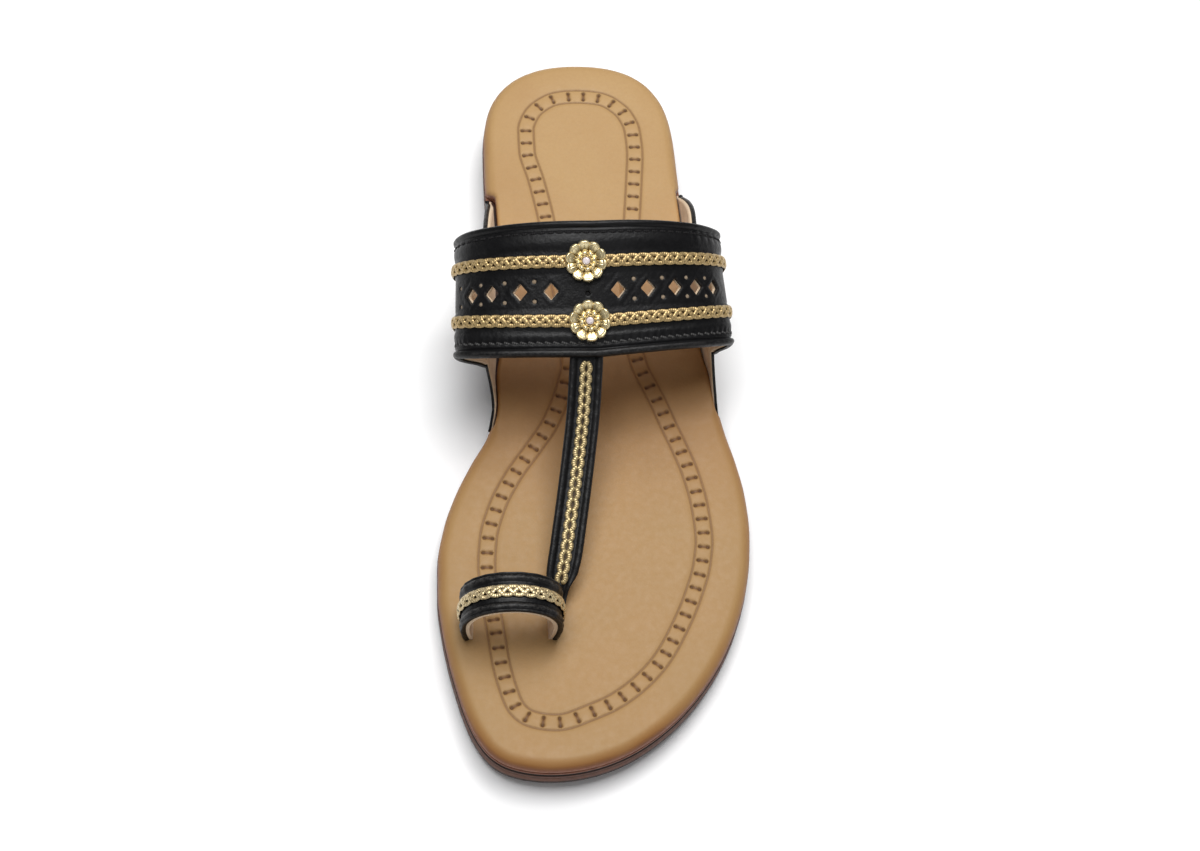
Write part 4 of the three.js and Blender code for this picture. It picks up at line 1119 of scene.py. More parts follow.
def holes_of_band():
    """Closed outlines (R, T) of the cut diamonds and the punched holes."""
    out = []
    c = DIAMOND_ACROSS * BAND_DEEP
    for r0 in DIAMONDS:
        q0 = float(arch_of(r0))
        du, dt, _ = band_frame(np.array([DIAMOND_ACROSS]), np.array([q0]))
        # scale of R and T at this place, so that the hole is the right size on the leather
        kr = np.linalg.norm(du[0]) / max((float(run_of(q0 + 1e-3)) - float(run_of(q0 - 1e-3))) / 2e-3, 1e-6)
        kt = np.linalg.norm(dt[0]) / BAND_DEEP
        a, b = DIAMOND_WIDE / 2 / kr, DIAMOND_LONG / 2 / kt
        corners = [(a, 0), (0, b), (-a, 0), (0, -b)]
        pts = []
        for i in range(4):
            p0, p1 = np.array(corners[i]), np.array(corners[(i + 1) % 4])
            for f in (0.07, 0.3, 0.5, 0.7, 0.93):
                # sides bow in a hair, corners are just off sharp
                p = p0 + (p1 - p0) * f
                pts.append((r0 + p[0] * (1 - 0.03 * math.sin(PI * f)), c + p[1] * (1 - 0.03 * math.sin(PI * f))))
        out.append(("diamond", np.array(pts)))
    for r0 in EYELET_RUN:
        for sg in (-1, 1):
            a = 2 * PI * np.arange(12) / 12
            out.append(("eyelet", np.stack([r0 + 0.72 * np.cos(a), c + sg * EYELET_OUT + 0.72 * np.sin(a)], 1)))
    a = 2 * PI * np.arange(14) / 14
    out.append(("dark", np.stack([DARK_HOLE[0] + 0.85 * np.cos(a), DARK_HOLE[1] + 0.85 * np.sin(a)], 1)))
    return out


HOLES = holes_of_band()


def eyelet_backs():
    """The pale under-layer pressed up into each small punched hole, in a copy of the cream darkened as painted shade.
    """
    c = DIAMOND_ACROSS * BAND_DEEP
    pale = [(r0, c + sg * EYELET_OUT) for r0 in EYELET_RUN for sg in (-1, 1)]
    for name, spots, size, deep, mat in (("eyelet_backs", pale, 0.70, 0.24, M_EYELET_SHADED), ("dark_hole_back", [DARK_HOLE], 0.83, 0.80, M_THREAD)):
        b = Batch()
        for r0, T0 in spots:
            rows = []
            for rr, dn in ((size, 1.1), (size, deep + 0.18), (size * 0.7, deep + 0.04), (size * 0.3, deep)):
                a = 2 * PI * np.arange(14) / 14
                R, T = r0 + rr * np.cos(a), T0 + rr * np.sin(a)
                rows.append(on_band(T / BAND_DEEP, arch_of(R), band_relief(T, R) - dn))
            V = np.stack(rows, 1).reshape(-1, 3)
            q = outward(V, grid_faces(14, 4, wrap_u=True))
            V = np.vstack([V, rows[0].mean(0)[None], rows[-1].mean(0)[None]])
            i = np.arange(14)
            j = (i + 1) % 14
            top = np.stack([np.full(14, 57), i * 4 + 3, j * 4 + 3], -1)
            low = np.stack([np.full(14, 56), j * 4, i * 4], -1)
            up = rows[-1].mean(0) - rows[0].mean(0)
            if np.dot(np.cross(V[top[0, 1]] - V[top[0, 0]], V[top[0, 2]] - V[top[0, 0]]), up) < 0:
                top = top[:, ::-1]
            if np.dot(np.cross(V[low[0, 1]] - V[low[0, 0]], V[low[0, 2]] - V[low[0, 0]]), up) > 0:
                low = low[:, ::-1]
            b.add(V, q, np.vstack([top, low]), cut=0.0, lay=0.0)
        b.make(name, mat, slot="lining" if mat is M_EYELET_SHADED else "thread")


def inside_poly(p, poly):
    x, y = p[:, 0][:, None], p[:, 1][:, None]
    x0, y0 = poly[:, 0][None], poly[:, 1][None]
    x1, y1 = np.roll(poly[:, 0], -1)[None], np.roll(poly[:, 1], -1)[None]
    cond = ((y0 > y) != (y1 > y))
    xi = (x1 - x0) * (y - y0) / np.where(np.abs(y1 - y0) < 1e-12, 1e-12, y1 - y0) + x0
    return (np.sum(cond & (x < xi), axis=1) % 2) == 1


def sheet_with_holes(rows_t, cols_r, holes, keep_off=0.42):
    """Flat triangulation of the band's strip with holes; returns points (R,T), triangles, hole loops and rim loop."""
    Rg, Tg = np.meshgrid(cols_r, rows_t, indexing="ij")
    nu, nv = Rg.shape
    grid = np.stack([Rg, Tg], -1).reshape(-1, 2)
    keep = np.ones(len(grid), bool)
    for _, poly in holes:
        c = poly.mean(0)
        grown = c + (poly - c) * (1 + keep_off / np.maximum(np.linalg.norm(poly - c, axis=1, keepdims=True), 1e-6))
        near = (np.abs(grid - c) < 6).all(1)
        idx = np.where(near)[0]
        keep[idx[inside_poly(grid[idx], grown)]] = False
    idx_of = -np.ones(len(grid), int)
    idx_of[keep] = np.arange(keep.sum())
    pts = [tuple(p) for p in grid[keep]]
    edges = []
    rim = [i * nv for i in range(nu)] + [(nu - 1) * nv + j for j in range(1, nv)] + [i * nv + nv - 1 for i in range(nu - 2, -1, -1)] + [j for j in range(nv - 2, 0, -1)]
    rim = [int(idx_of[k]) for k in rim]
    edges += [(rim[i], rim[(i + 1) % len(rim)]) for i in range(len(rim))]
    loops = []
    for _, poly in holes:
        base = len(pts)
        pts += [tuple(p) for p in poly]
        n = len(poly)
        edges += [(base + i, base + (i + 1) % n) for i in range(n)]
        loops.append([base + i for i in range(n)])
        # one guard ring close round the hole keeps the leather's cut edge clean
        c = poly.mean(0)
        g = c + (poly - c) * (1 + 0.24 / np.maximum(np.linalg.norm(poly - c, axis=1, keepdims=True), 1e-6))
        pts += [tuple(p) for p in g]
    res = delaunay_2d_cdt([Vector((float(a), float(b))) for a, b in pts], edges, [], 1, 1e-5)
    vo, _, fo, orig = res[0], res[1], res[2], res[3]
    P2 = np.array([[v.x, v.y] for v in vo])
    tris = np.array([f for f in fo if len(f) == 3])
    cen = P2[tris].mean(1)
    dead = np.zeros(len(tris), bool)
    for _, poly in holes:
        c = poly.mean(0)
        near = np.where((np.abs(cen - c) < 6).all(1))[0]
        dead[near[inside_poly(cen[near], poly)]] = True
    back = {}
    for new, src in enumerate(orig):
        for k in src:
            back[k] = new
    return P2, tris[~dead], [[back[k] for k in lp] for lp in loops], [back[k] for k in rim]


def slab(P2, tris, loops, rim, outer, inner, edge_attr=None):
    """Two skins from a flat triangulation joined round the holes and the rim."""
    n = len(P2)
    V = np.vstack([outer, inner])
    a, b, c = outer[tris[:, 0]], outer[tris[:, 1]], outer[tris[:, 2]]
    nn = np.cross(b - a, c - a)
    ref = (outer - inner)[tris[:, 0]]
    tris = tris.copy()
    fl = np.einsum("ij,ij->i", nn, ref) < 0
    tris[fl] = tris[fl][:, ::-1]
    T = [tris, tris[:, ::-1] + n]
    # side walls from the boundary edges, so that they always match the skins
    e = np.vstack([tris[:, [0, 1]], tris[:, [1, 2]], tris[:, [2, 0]]])
    key = {}
    for i, j in e:
        key[(int(i), int(j))] = True
    walls = []
    for (i, j) in key:
        if (j, i) not in key:
            walls.append([j, i, i + n, j + n])
    return V, T, np.array(walls)


ROWS_T = np.concatenate([[0, 0.16, 0.4, 0.75, 1.1, 1.5, 1.8, 2.05, 2.25, 2.45, 2.75, 3.1, 3.6, 4.1, 4.5], np.arange(5.2, 35.9, 0.75),
                         [36.3, 36.8, 37.2, 37.6, 38.0, 38.35, 38.6, 38.8, 39.0, 39.25, 39.6, 40.0, 40.4, 40.8, 41.1, 41.3, BAND_DEEP]])


def build_band():
    cols = np.linspace(BAND_LO, BAND_HI, 231)
    P2, tris, loops, rim = sheet_with_holes(ROWS_T, cols, HOLES)
    R, T = P2[:, 0], P2[:, 1]
    q, t = arch_of(R), T / BAND_DEEP
    h = band_relief(T, R)
    # the skin curls down at both long edges, and at the two ends
    F = BAND_DEEP - T
    curl = 0.9 * (1 - np.sqrt(np.clip(1 - (1 - np.clip(T / 0.95, 0, 1)) ** 2, 0, 1))) + 1.0 * (1 - np.sqrt(np.clip(1 - (1 - np.clip(F / 1.15, 0, 1)) ** 2, 0, 1)))
    ends = np.minimum(R - BAND_LO, BAND_HI - R)
    curl += 0.6 * (1 - np.sqrt(np.clip(1 - (1 - np.clip(ends / 1.0, 0, 1)) ** 2, 0, 1)))
    cut = np.zeros(len(P2))
    for lp in loops:
        cut[lp] = 1.0
    outer = on_band(t, q, h - curl - 0.10 * cut)
    inner = on_band(t, q, np.full(len(P2), -1.35) - 0.15 * np.clip(curl, 0, 1))
    V, Ts, walls = slab(P2, tris, loops, rim, outer, inner)
    # lighter paint at the rear cut edge and round the holes is the raw leather's own; along the front piping's crest it
    # is partly rubbed wear and partly a painted highlight
    edge = np.clip(np.concatenate([bump(T, 0.8) * 0.35 + bump(F - 1.0, 1.0) * 0.5 + cut * 0.8, np.zeros(len(P2))]), 0, 1)
    make("band_leather", V, [np.vstack(Ts), walls], M_BLACK, smooth_angle=48, attrs=dict(edge=edge), slot="upper", node="upper")
    # lining: cream leather glued behind, its cut edge a hair inside the black
    rt = np.concatenate([[0.75, 1.1, 1.8], np.arange(2.6, 39.0, 1.5), [39.8, 40.3, 40.65]])
    cols2 = np.linspace(BAND_LO + 0.8, BAND_HI - 0.8, 150)
    shr = []
    for kind, poly in HOLES:
        # the small holes are punched in the black only, so the cream shows in them
        if kind == "diamond":
            c = poly.mean(0)
            shr.append((kind, c + (poly - c) * 0.90))
    P2, tris, loops, rim = sheet_with_holes(rt, cols2, shr, 0.6)
    R, T = P2[:, 0], P2[:, 1]
    q, t = arch_of(R), T / BAND_DEEP
    cut = np.zeros(len(P2))
    for lp in loops:
        cut[lp] = 1.0
    for k in rim:
        cut[k] = 1.0
    outer = on_band(t, q, np.full(len(P2), -1.36))
    inner = on_band(t, q, np.full(len(P2), -BAND_WALL) + 0.12 * cut)
    V, Ts, walls = slab(P2, tris, loops, rim, outer, inner)
    make("band_lining", V, [np.vstack(Ts), walls], M_CREAM, smooth_angle=48, attrs=dict(cut=np.concatenate([cut, cut * 0.5])), slot="lining")


build_band()


def build_ears():
    leather, lining, cord = Batch(), Batch(), Batch()
    for side in ("medial", "lateral"):
        rows = np.array(EAR[side])
        level = curve(rows[:, 0], rows[:, 1])
        # the free edge runs round the ear: stations close where it turns
        s = np.unique(np.concatenate([np.linspace(rows[0, 0], rows[-1, 0], 90), np.linspace(rows[0, 0], rows[0, 0] + 4, 12),
                                      np.linspace(rows[-1, 0] - 17, rows[-1, 0], 40)]))
        foot = top_level(s) - MIDSOLE_TOP + 0.15
        top = np.maximum(level(s), foot + 1.2)
        m = 16
        f = np.linspace(0, 1, m + 1)
        sg = -1 if side == "medial" else 1

        def skin(extra_of, z0, z1):
            out = []
            for k in range(m + 1):
                z = z0 + (z1 - z0) * f[k]
                off = (1.3 + 0.05 * np.maximum(z - 20, 0)) * ear_stand(s) if side == "lateral" else 0.0
                out.append(place(ear_x(side, s, z, extra_of(z, top) + off), s, z))
            return np.stack(out, 1)
        rollo = lambda z, tp: 0.34 * np.sqrt(np.clip(1 - ((tp - z - 1.0) / 1.0) ** 2, 0, 1)) - 0.2 * bump(tp - z - 2.4, 0.5) - 0.55 * (1 - np.clip((tp - z) / 0.35, 0, 1))
        # levels crowd to the free edge so that the roll shows
        f = 1 - (1 - np.linspace(0, 1, m + 1)) ** 1.9
        A = skin(rollo, foot, top)
        thin = 1 - 0.52 * ear_skived(s)
        B = skin(lambda z, tp: -1.1 * thin, foot, top - 0.35)
        C = skin(lambda z, tp: -1.12 * thin, foot, top - 0.75)
        D = skin(lambda z, tp: (-EAR_WALL + 0.35 * (1 - np.clip((tp - 0.75 - z) / 0.5, 0, 1))) * thin, foot, top - 0.75)
        for P0, P1, bt, at in ((A, B, leather, "edge"), (C, D, lining, "cut")):
            ns_, nm = P0.shape[0], P0.shape[1]
            ring = np.concatenate([P0, P1[:, ::-1]], 1)
            V = ring.reshape(-1, 3)
            K = ring.shape[1]
            q = grid_faces(ns_, K, wrap_v=True)
            vv = outward(V, q)
            # end caps: strips between the two skins
            caps = []
            for base, fl in ((0, True), ((ns_ - 1) * K, False)):
                for k in range(nm - 1):
                    quad = [base + k, base + k + 1, base + K - 2 - k, base + K - 1 - k]
                    caps.append(quad)
            caps = np.array(caps)
            half = len(caps) // 2
            c0 = V.mean(0)
            fixed = []
            for grp, nb in ((caps[:half], ring[1].mean(0) - ring[0].mean(0)), (caps[half:], ring[-2].mean(0) - ring[-1].mean(0))):
                nrm = np.cross(V[grp[:, 1]] - V[grp[:, 0]], V[grp[:, 2]] - V[grp[:, 0]]).sum(0)
                fixed.append(grp if np.dot(nrm, nb) < 0 else grp[:, ::-1])
            val = np.zeros((ns_, K))
            val[:, nm - 2:nm + 2] = 0.8
            bt.add(V, np.vstack([vv] + fixed), **{at: val.reshape(-1)})
    leather.make("ear_leather", M_BLACK, smooth_angle=50, slot="upper")
    lining.make("ear_lining", M_CREAM, smooth_angle=50, slot="lining")


build_ears()

# T-strap
_S = np.array(STRAP)
_i = np.arange(len(_S))
strap_s, strap_x, strap_z, strap_w = (curve(_i, _S[:, k]) for k in range(4))
STRAP_END = len(_S) - 1


def strap_frame(u, e=0.02):
    a = np.clip(u, e, STRAP_END - e)
    ds, dz = strap_s(a + e) - strap_s(a - e), strap_z(a + e) - strap_z(a - e)
    l = np.hypot(ds, dz)
    return ds / l, dz / l


def on_strap(u, y, off):
    """y mm across from the strap's middle line, off mm out from its middle layer."""
    ts, tz = strap_frame(u)
    return place(strap_x(u) + y, strap_s(u) - tz * off, strap_z(u) + ts * off)


def strap_step(s):
    uu = np.linspace(0, STRAP_END, 2000)
    return np.interp(s, strap_s(uu), uu)


def section_sweep(name, n, pts_of, material, at, values, slot, **kw):
    """pts_of(k) -> n points of section corner k; closed section, both ends capped."""
    cols = [pts_of(k) for k in range(len(values))]
    ring = np.stack(cols, 1)
    K = ring.shape[1]
    V = ring.reshape(-1, 3)
    q = outward(V, grid_faces(n, K, wrap_v=True))
    caps = []
    for base, nb in ((0, ring[1].mean(0) - ring[0].mean(0)), ((n - 1) * K, ring[-2].mean(0) - ring[-1].mean(0))):
        g = []
        for k in range(K // 2 - 1):
            g.append([base + k, base + k + 1, base + K - 2 - k, base + K - 1 - k])
        g = np.array(g)
        nrm = np.cross(V[g[:, 1]] - V[g[:, 0]], V[g[:, 2]] - V[g[:, 0]]).sum(0)
        caps.append(g if np.dot(nrm, nb) < 0 else g[:, ::-1])
    vals = np.broadcast_to(np.array(values, float)[None], (n, K)).reshape(-1)
    return make(name, V, np.vstack([q] + caps), material, attrs={at: vals}, slot=slot, **kw)


def build_strap():
    n = 170
    u = np.linspace(0.0, STRAP_END, n)
    w = strap_w(u) / 2
    s = strap_s(u)
    fade = 1 - step(188, 197, s)                    # the rolls close up toward the slot
    # puckered fold where the braid stops and the strap is pinched together
    fold = np.exp(-((s - 193.6) / 1.5) ** 2)
    tuck = np.exp(-((s - 196.6) / 1.3) ** 2)
    H = STRAP_WALL / 2
    # half section from the middle out, then down and under: share of half width, height, and how much lighter the
    # leather is painted there, on the roll's crest partly rubbed wear and partly a painted highlight
    prof = [(0.0, 0.0, 0), (0.16, 0.0, 0), (0.32, -0.02, 0), (0.43, -0.10, 0), (0.50, -0.14, 0), (0.57, 0.02, 0), (0.64, 0.26, 0.05), (0.72, 0.44, 0.15), (0.80, 0.50, 0.2),
            (0.88, 0.42, 0.15), (0.95, 0.18, 0.05), (0.99, -0.16, 0), (1.0, -0.55, 0), (0.985, -0.95, 0), (0.93, -1.2, 0)]
    under = [(0.93, -1.2), (0.6, -1.22), (0.3, -1.22), (0.0, -1.22)]
    left = [(-a, b, c) for a, b, c in prof[::-1]]
    top = left + prof[1:]
    bot = [(0.6, -1.24, 0), (0.3, -1.24, 0), (0.0, -1.24, 0), (-0.3, -1.24, 0), (-0.6, -1.24, 0)]
    pts = top + bot
    # even count so that the caps pair up
    if len(pts) % 2:
        pts.insert(len(top) + 2, (0.15, -1.24, 0))

    def at(k):
        a, b, _ = pts[k]
        raised = b if b < 0 else b * fade
        if b > -0.6:
            raised = raised + 0.55 * fold * (0.6 + 0.4 * np.cos(7 * a)) - 0.35 * tuck
        ripple = 0.03 * np.sin(s * 1.9 + 2.1 * np.sign(a)) * (abs(a) > 0.55) * (b > -0.6)
        return on_strap(u, a * w, H + raised + ripple * fade)
    section_sweep("strap_leather", n, at, M_BLACK, "edge", [p[2] for p in pts], "upper", smooth_angle=55)
    # lining under it
    m = 120
    v = np.linspace(0.05, STRAP_END, m)
    wv = strap_w(v) / 2
    lin_pts = [(-0.9, -0.16), (-0.45, -0.14), (0, -0.14), (0.45, -0.14), (0.9, -0.16), (0.9, -0.96), (0.45, -1.02), (0.0, -1.02), (-0.45, -1.02), (-0.9, -0.96)]
    section_sweep("strap_lining", m, lambda k: on_strap(v, lin_pts[k][0] * wv, lin_pts[k][1]), M_CREAM, "cut",
                  [0.8, 0, 0, 0, 0.8, 0.8, 0, 0, 0, 0.8], "lining", smooth_angle=50)


build_strap()


# Toe loop
def loop_arch(q, off):
    q = np.asarray(q, float)
    u, sg, p = np.abs(q), np.where(q < 0, -1.0, 1.0), 2 / LOOP["power"]
    foot = top_level(LOOP["s"]) - MIDSOLE_TOP + GAP + 0.1
    a = PI / 2 * np.clip(u / LOOP_TURN, 0, 1)
    x = LOOP["centre"] + sg * (LOOP["wide"] + off) * np.sin(a) ** p
    z = LOOP["waist"] + (LOOP["top"] - LOOP["waist"] + off) * np.maximum(np.cos(a), 0) ** p
    v = np.clip((u - LOOP_TURN) / (1 - LOOP_TURN), 0, 1)
    low = u > LOOP_TURN
    x = np.where(low, LOOP["centre"] + sg * (LOOP["wide"] + off - LOOP["tuck"] * smooth(v)), x)
    z = np.where(low, LOOP["waist"] + (foot - LOOP["waist"]) * v, z)
    return x, z


def on_loop(q, y, off):
    x, z = loop_arch(q, off)
    return place(x, LOOP["s"] + y, z)


def build_loop():
    n = 190
    q = np.linspace(-1, 1, n)
    half = LOOP["width"] / 2
    u = np.abs(q)
    # feet pinch together as they go down into the sole
    w = half * (1 - 0.20 * step(0.72, 1.0, u))
    # half section: share of half width, height, and how much lighter the leather is painted there; on the crests of the
    # two ridges that is partly rubbed wear and partly a painted highlight
    prof = [(0.0, 0.0, 0), (0.20, 0.0, 0), (0.36, -0.02, 0), (0.44, -0.12, 0), (0.49, -0.20, 0), (0.54, -0.05, 0), (0.60, 0.26, 0.3), (0.67, 0.46, 0.6), (0.735, 0.50, 0.8), (0.80, 0.42, 0.5),
            (0.85, 0.16, 0.2), (0.875, 0.0, 0), (0.90, 0.12, 0.2), (0.94, 0.26, 0.5), (0.975, 0.16, 0.4), (0.995, -0.12, 0.1), (1.0, -0.5, 0), (0.99, -0.95, 0), (0.96, -1.28, 0)]
    left = [(-a, b, c) for a, b, c in prof[::-1]]
    pts = left + prof[1:] + [(0.6, -1.4, 0), (0.3, -1.4, 0), (0.0, -1.4, 0), (-0.3, -1.4, 0), (-0.6, -1.4, 0)]
    if len(pts) % 2:
        pts.insert(len(pts) - 3, (0.15, -1.4, 0))

    def at(k):
        a, b, _ = pts[k]
        r = 0.07 * np.sin(q * 46 + 1.3 * np.sign(a)) * (abs(a) > 0.5) * (b > -0.3)
        # the rolls open a little off the tight top and crease at the bends
        crease = -0.16 * (bump(u - 0.52, 0.05) + bump(u - 0.63, 0.04)) * (b > 0.1)
        return on_loop(q, a * w, b + r + crease)
    section_sweep("loop_leather", n, at, M_BLACK, "edge", [p[2] for p in pts], "upper", smooth_angle=55)
    m = 150
    v = np.linspace(-0.99, 0.99, m)
    wv = half * (1 - 0.20 * step(0.72, 1.0, np.abs(v))) * 0.93
    lp = [(-1, -1.42), (-0.5, -1.42), (0, -1.42), (0.5, -1.42), (1, -1.42), (1.0, -LOOP_WALL + 0.14), (0.5, -LOOP_WALL), (0, -LOOP_WALL), (-0.5, -LOOP_WALL), (-1.0, -LOOP_WALL + 0.14)]
    section_sweep("loop_lining", m, lambda k: on_loop(v, lp[k][0] * wv, lp[k][1]), M_CREAM, "cut",
                  [0.8, 0, 0, 0, 0.8, 0.8, 0, 0, 0, 0.8], "lining", smooth_angle=50)


build_loop()


# ------------------------------------------------------------------ braids
def ply_section(a):
    """Two plies side by side: pinched in the middle of the top."""
    return np.ones_like(a), 1 - 0.30 * np.exp(-((np.mod(a + PI / 2, PI) - PI / 2 - 0) * 0 + (np.cos(a)) ** 2 / 0.06)) * (np.abs(np.sin(a)) > 0.2)


def plait(batch, P, N, T, length, strands, period, amp, ra, rb, steps, lift, rise, phase=0.0, square=0.0):
    """Strands woven along a line. P(d), N(d), T(d) give the line, its normal and its direction at d mm."""
    for k in range(strands):
        n = int(length * steps) + 1
        d = np.linspace(0, length, n)
        w = 2 * PI * d / period + 2 * PI * k / strands + phase
        y = amp * (np.tanh(square * np.sin(w)) / math.tanh(square) if square else np.sin(w))
        zz = lift + rise * (np.cos(2 * w) if strands == 3 else np.cos(w))
        p, nn, tt = P(d), N(d), T(d)
        b = unit(np.cross(tt, nn))
        path = p + b * (y * 0.001)[:, None] + nn * (zz * 0.001)[:, None]
        taper = np.minimum(1, np.minimum(d, length - d) / 0.5 + 0.35)
        v, q, t = tube(path, nn, ra * 0.001 * taper, rb * 0.001 * taper, 10, section=ply_section)
        lay = np.repeat(d / 0.62, 10)
        hgt = np.tile(np.sin(2 * PI * np.arange(10) / 10), n)
        low = (zz - lift + rise) / (2 * rise + 1e-9)
        cav = np.clip(0.72 - 0.55 * hgt - 0.42 * np.repeat(low, 10), 0, 1)
        batch.add(v, q, t, lay=np.concatenate([lay, [0, 0]]), cav=np.concatenate([cav, [0.9, 0.9]]))


def leaves(batch, P, N, T, length, pitch, half, ra, rb, lift, rise):
    """A chain of paired leaves: each pair bows out round a small gap and lies over the next pair's ends."""
    count = int(round(length / pitch))
    pitch = length / count
    for i in range(count):
        for sg in (-1, 1):
            u = np.linspace(0, 1, 11)
            d = np.clip(0.1 + (i + 1.22 * u) * pitch, 0, length)
            y = sg * (0.30 + (half - 0.30) * np.sin(PI * np.clip(u * 1.02, 0, 1)) ** 0.95)
            zz = lift + rise * (1 - 2 * u)
            p, nn, tt = P(d), N(d), T(d)
            b = unit(np.cross(tt, nn))
            path = p + b * (y * 0.001)[:, None] + nn * (zz * 0.001)[:, None]
            fat = 0.80 + 0.20 * np.sin(PI * np.clip(u * 0.92 + 0.06, 0, 1))
            v, q, t = tube(path, nn, ra * 0.001 * fat, rb * 0.001 * fat, 10)
            hgt = np.tile(np.sin(2 * PI * np.arange(10) / 10), 11)
            cav = np.clip(0.55 - 0.6 * hgt + 0.35 * np.repeat(u, 10) ** 3, 0, 1)
            batch.add(v, q, t, lay=np.concatenate([np.repeat(d / 0.62, 10), [0, 0]]), cav=np.concatenate([cav, [0.9, 0.9]]))


def line_on_band(across):
    """The braid's middle line: its points, with their normals."""
    qq = np.linspace(-0.985, 0.985, 1600)
    tt = across - BRAID_BOW * (qq / BAND_TURN) ** 2
    T = tt * BAND_DEEP
    R = run_of(qq)
    pts = on_band(tt, qq, np.full(len(qq), 0.0))
    _, _, n = band_frame(tt, qq)
    n = np.stack([n[:, 0], -n[:, 1], n[:, 2]], -1)
    return pts, n


def follow(pts, nrm):
    d = np.concatenate([[0], np.cumsum(np.linalg.norm(np.diff(pts, axis=0), axis=1))]) * 1000
    tan = unit(np.gradient(pts, axis=0))
    f = lambda arr: (lambda x: np.stack([np.interp(x, d, arr[:, c]) for c in range(3)], -1))
    return f(pts), f(nrm), f(tan), d[-1]


def backing(batch, P, N, T, length, width, thick, lift, cav=1.0):
    """Flat dark gimp under the strands."""
    n = int(length / 0.8)
    d = np.linspace(0.2, length - 0.2, n)
    p, nn, tt = P(d), N(d), T(d)
    b = unit(np.cross(tt, nn))
    sec = [(-0.5, 0.0), (-0.46, 1.0), (0, 1.0), (0.46, 1.0), (0.5, 0.0), (0.0, 0.0)]
    ring = np.stack([p + b * (width * a * 0.001) + nn * ((lift + thick * c) * 0.001) for a, c in sec], 1)
    V = ring.reshape(-1, 3)
    K = len(sec)
    q = outward(V, grid_faces(n, K, wrap_v=True))
    caps = []
    for base, nb in ((0, ring[1].mean(0) - ring[0].mean(0)), ((n - 1) * K, ring[-2].mean(0) - ring[-1].mean(0))):
        g = np.array([[base + 0, base + 1, base + 2, base + 5], [base + 5, base + 2, base + 3, base + 4]])
        nrm = np.cross(V[g[:, 1]] - V[g[:, 0]], V[g[:, 2]] - V[g[:, 0]]).sum(0)
        caps.append(g if np.dot(nrm, nb) < 0 else g[:, ::-1])
    batch.add(V, np.vstack([q] + caps), lay=0.25, cav=cav)


for name, across, ph in (("rear", BRAID_REAR, 0.4), ("front", BRAID_FRONT, 1.7)):
    pts, nrm = line_on_band(across)
    Pf, Nf, Tf, L = follow(pts, nrm)
    b = Batch()
    backing(b, Pf, Nf, Tf, L, 3.3, 0.22, 0.12)
    plait(b, Pf, Nf, Tf, L, 3, 10.2, 1.34, 0.66, 0.34, 3.2, 0.64, 0.24, ph, 1.35)
    b.make("braid_%s_plait" % name, M_GOLD, smooth_angle=60, slot="braid", node="braid_%s" % name)

uu = np.linspace(float(strap_step(STRAP_BRAID_FROM)), float(strap_step(STRAP_BRAID_TO)), 500)
pts = on_strap(uu, 0 * uu, STRAP_WALL / 2 + 0 * uu)
ts_, tz_ = strap_frame(uu)
nrm = np.stack([0 * uu, tz_, ts_], -1)
Pf, Nf, Tf, L = follow(pts, nrm)
b = Batch()
backing(b, Pf, Nf, Tf, L, 2.6, 0.22, 0.10)
leaves(b, Pf, Nf, Tf, L, 3.25, 1.20, 0.80, 0.38, 0.62, 0.20)
b.make("braid_strap_chain", M_CHAIN, smooth_angle=60, slot="braid", node="braid_strap")

qq = np.linspace(-0.8, 0.8, 500)
pts = on_loop(qq, 0 * qq, 0 * qq)
tan = unit(np.gradient(pts, axis=0))
nrm = np.stack([-tan[:, 2], 0 * qq, tan[:, 0]], -1)
if nrm[250, 2] < 0:
    nrm = -nrm
Pf, Nf, Tf, L = follow(pts, nrm)
b = Batch()
backing(b, Pf, Nf, Tf, L, 2.9, 0.22, 0.12)
plait(b, Pf, Nf, Tf, L, 3, 9.6, 1.34, 0.68, 0.36, 3.2, 0.66, 0.24, 0.9, 1.2)
b.make("braid_loop_plait", M_LOOP_GOLD, smooth_angle=60, slot="braid", node="braid_loop")


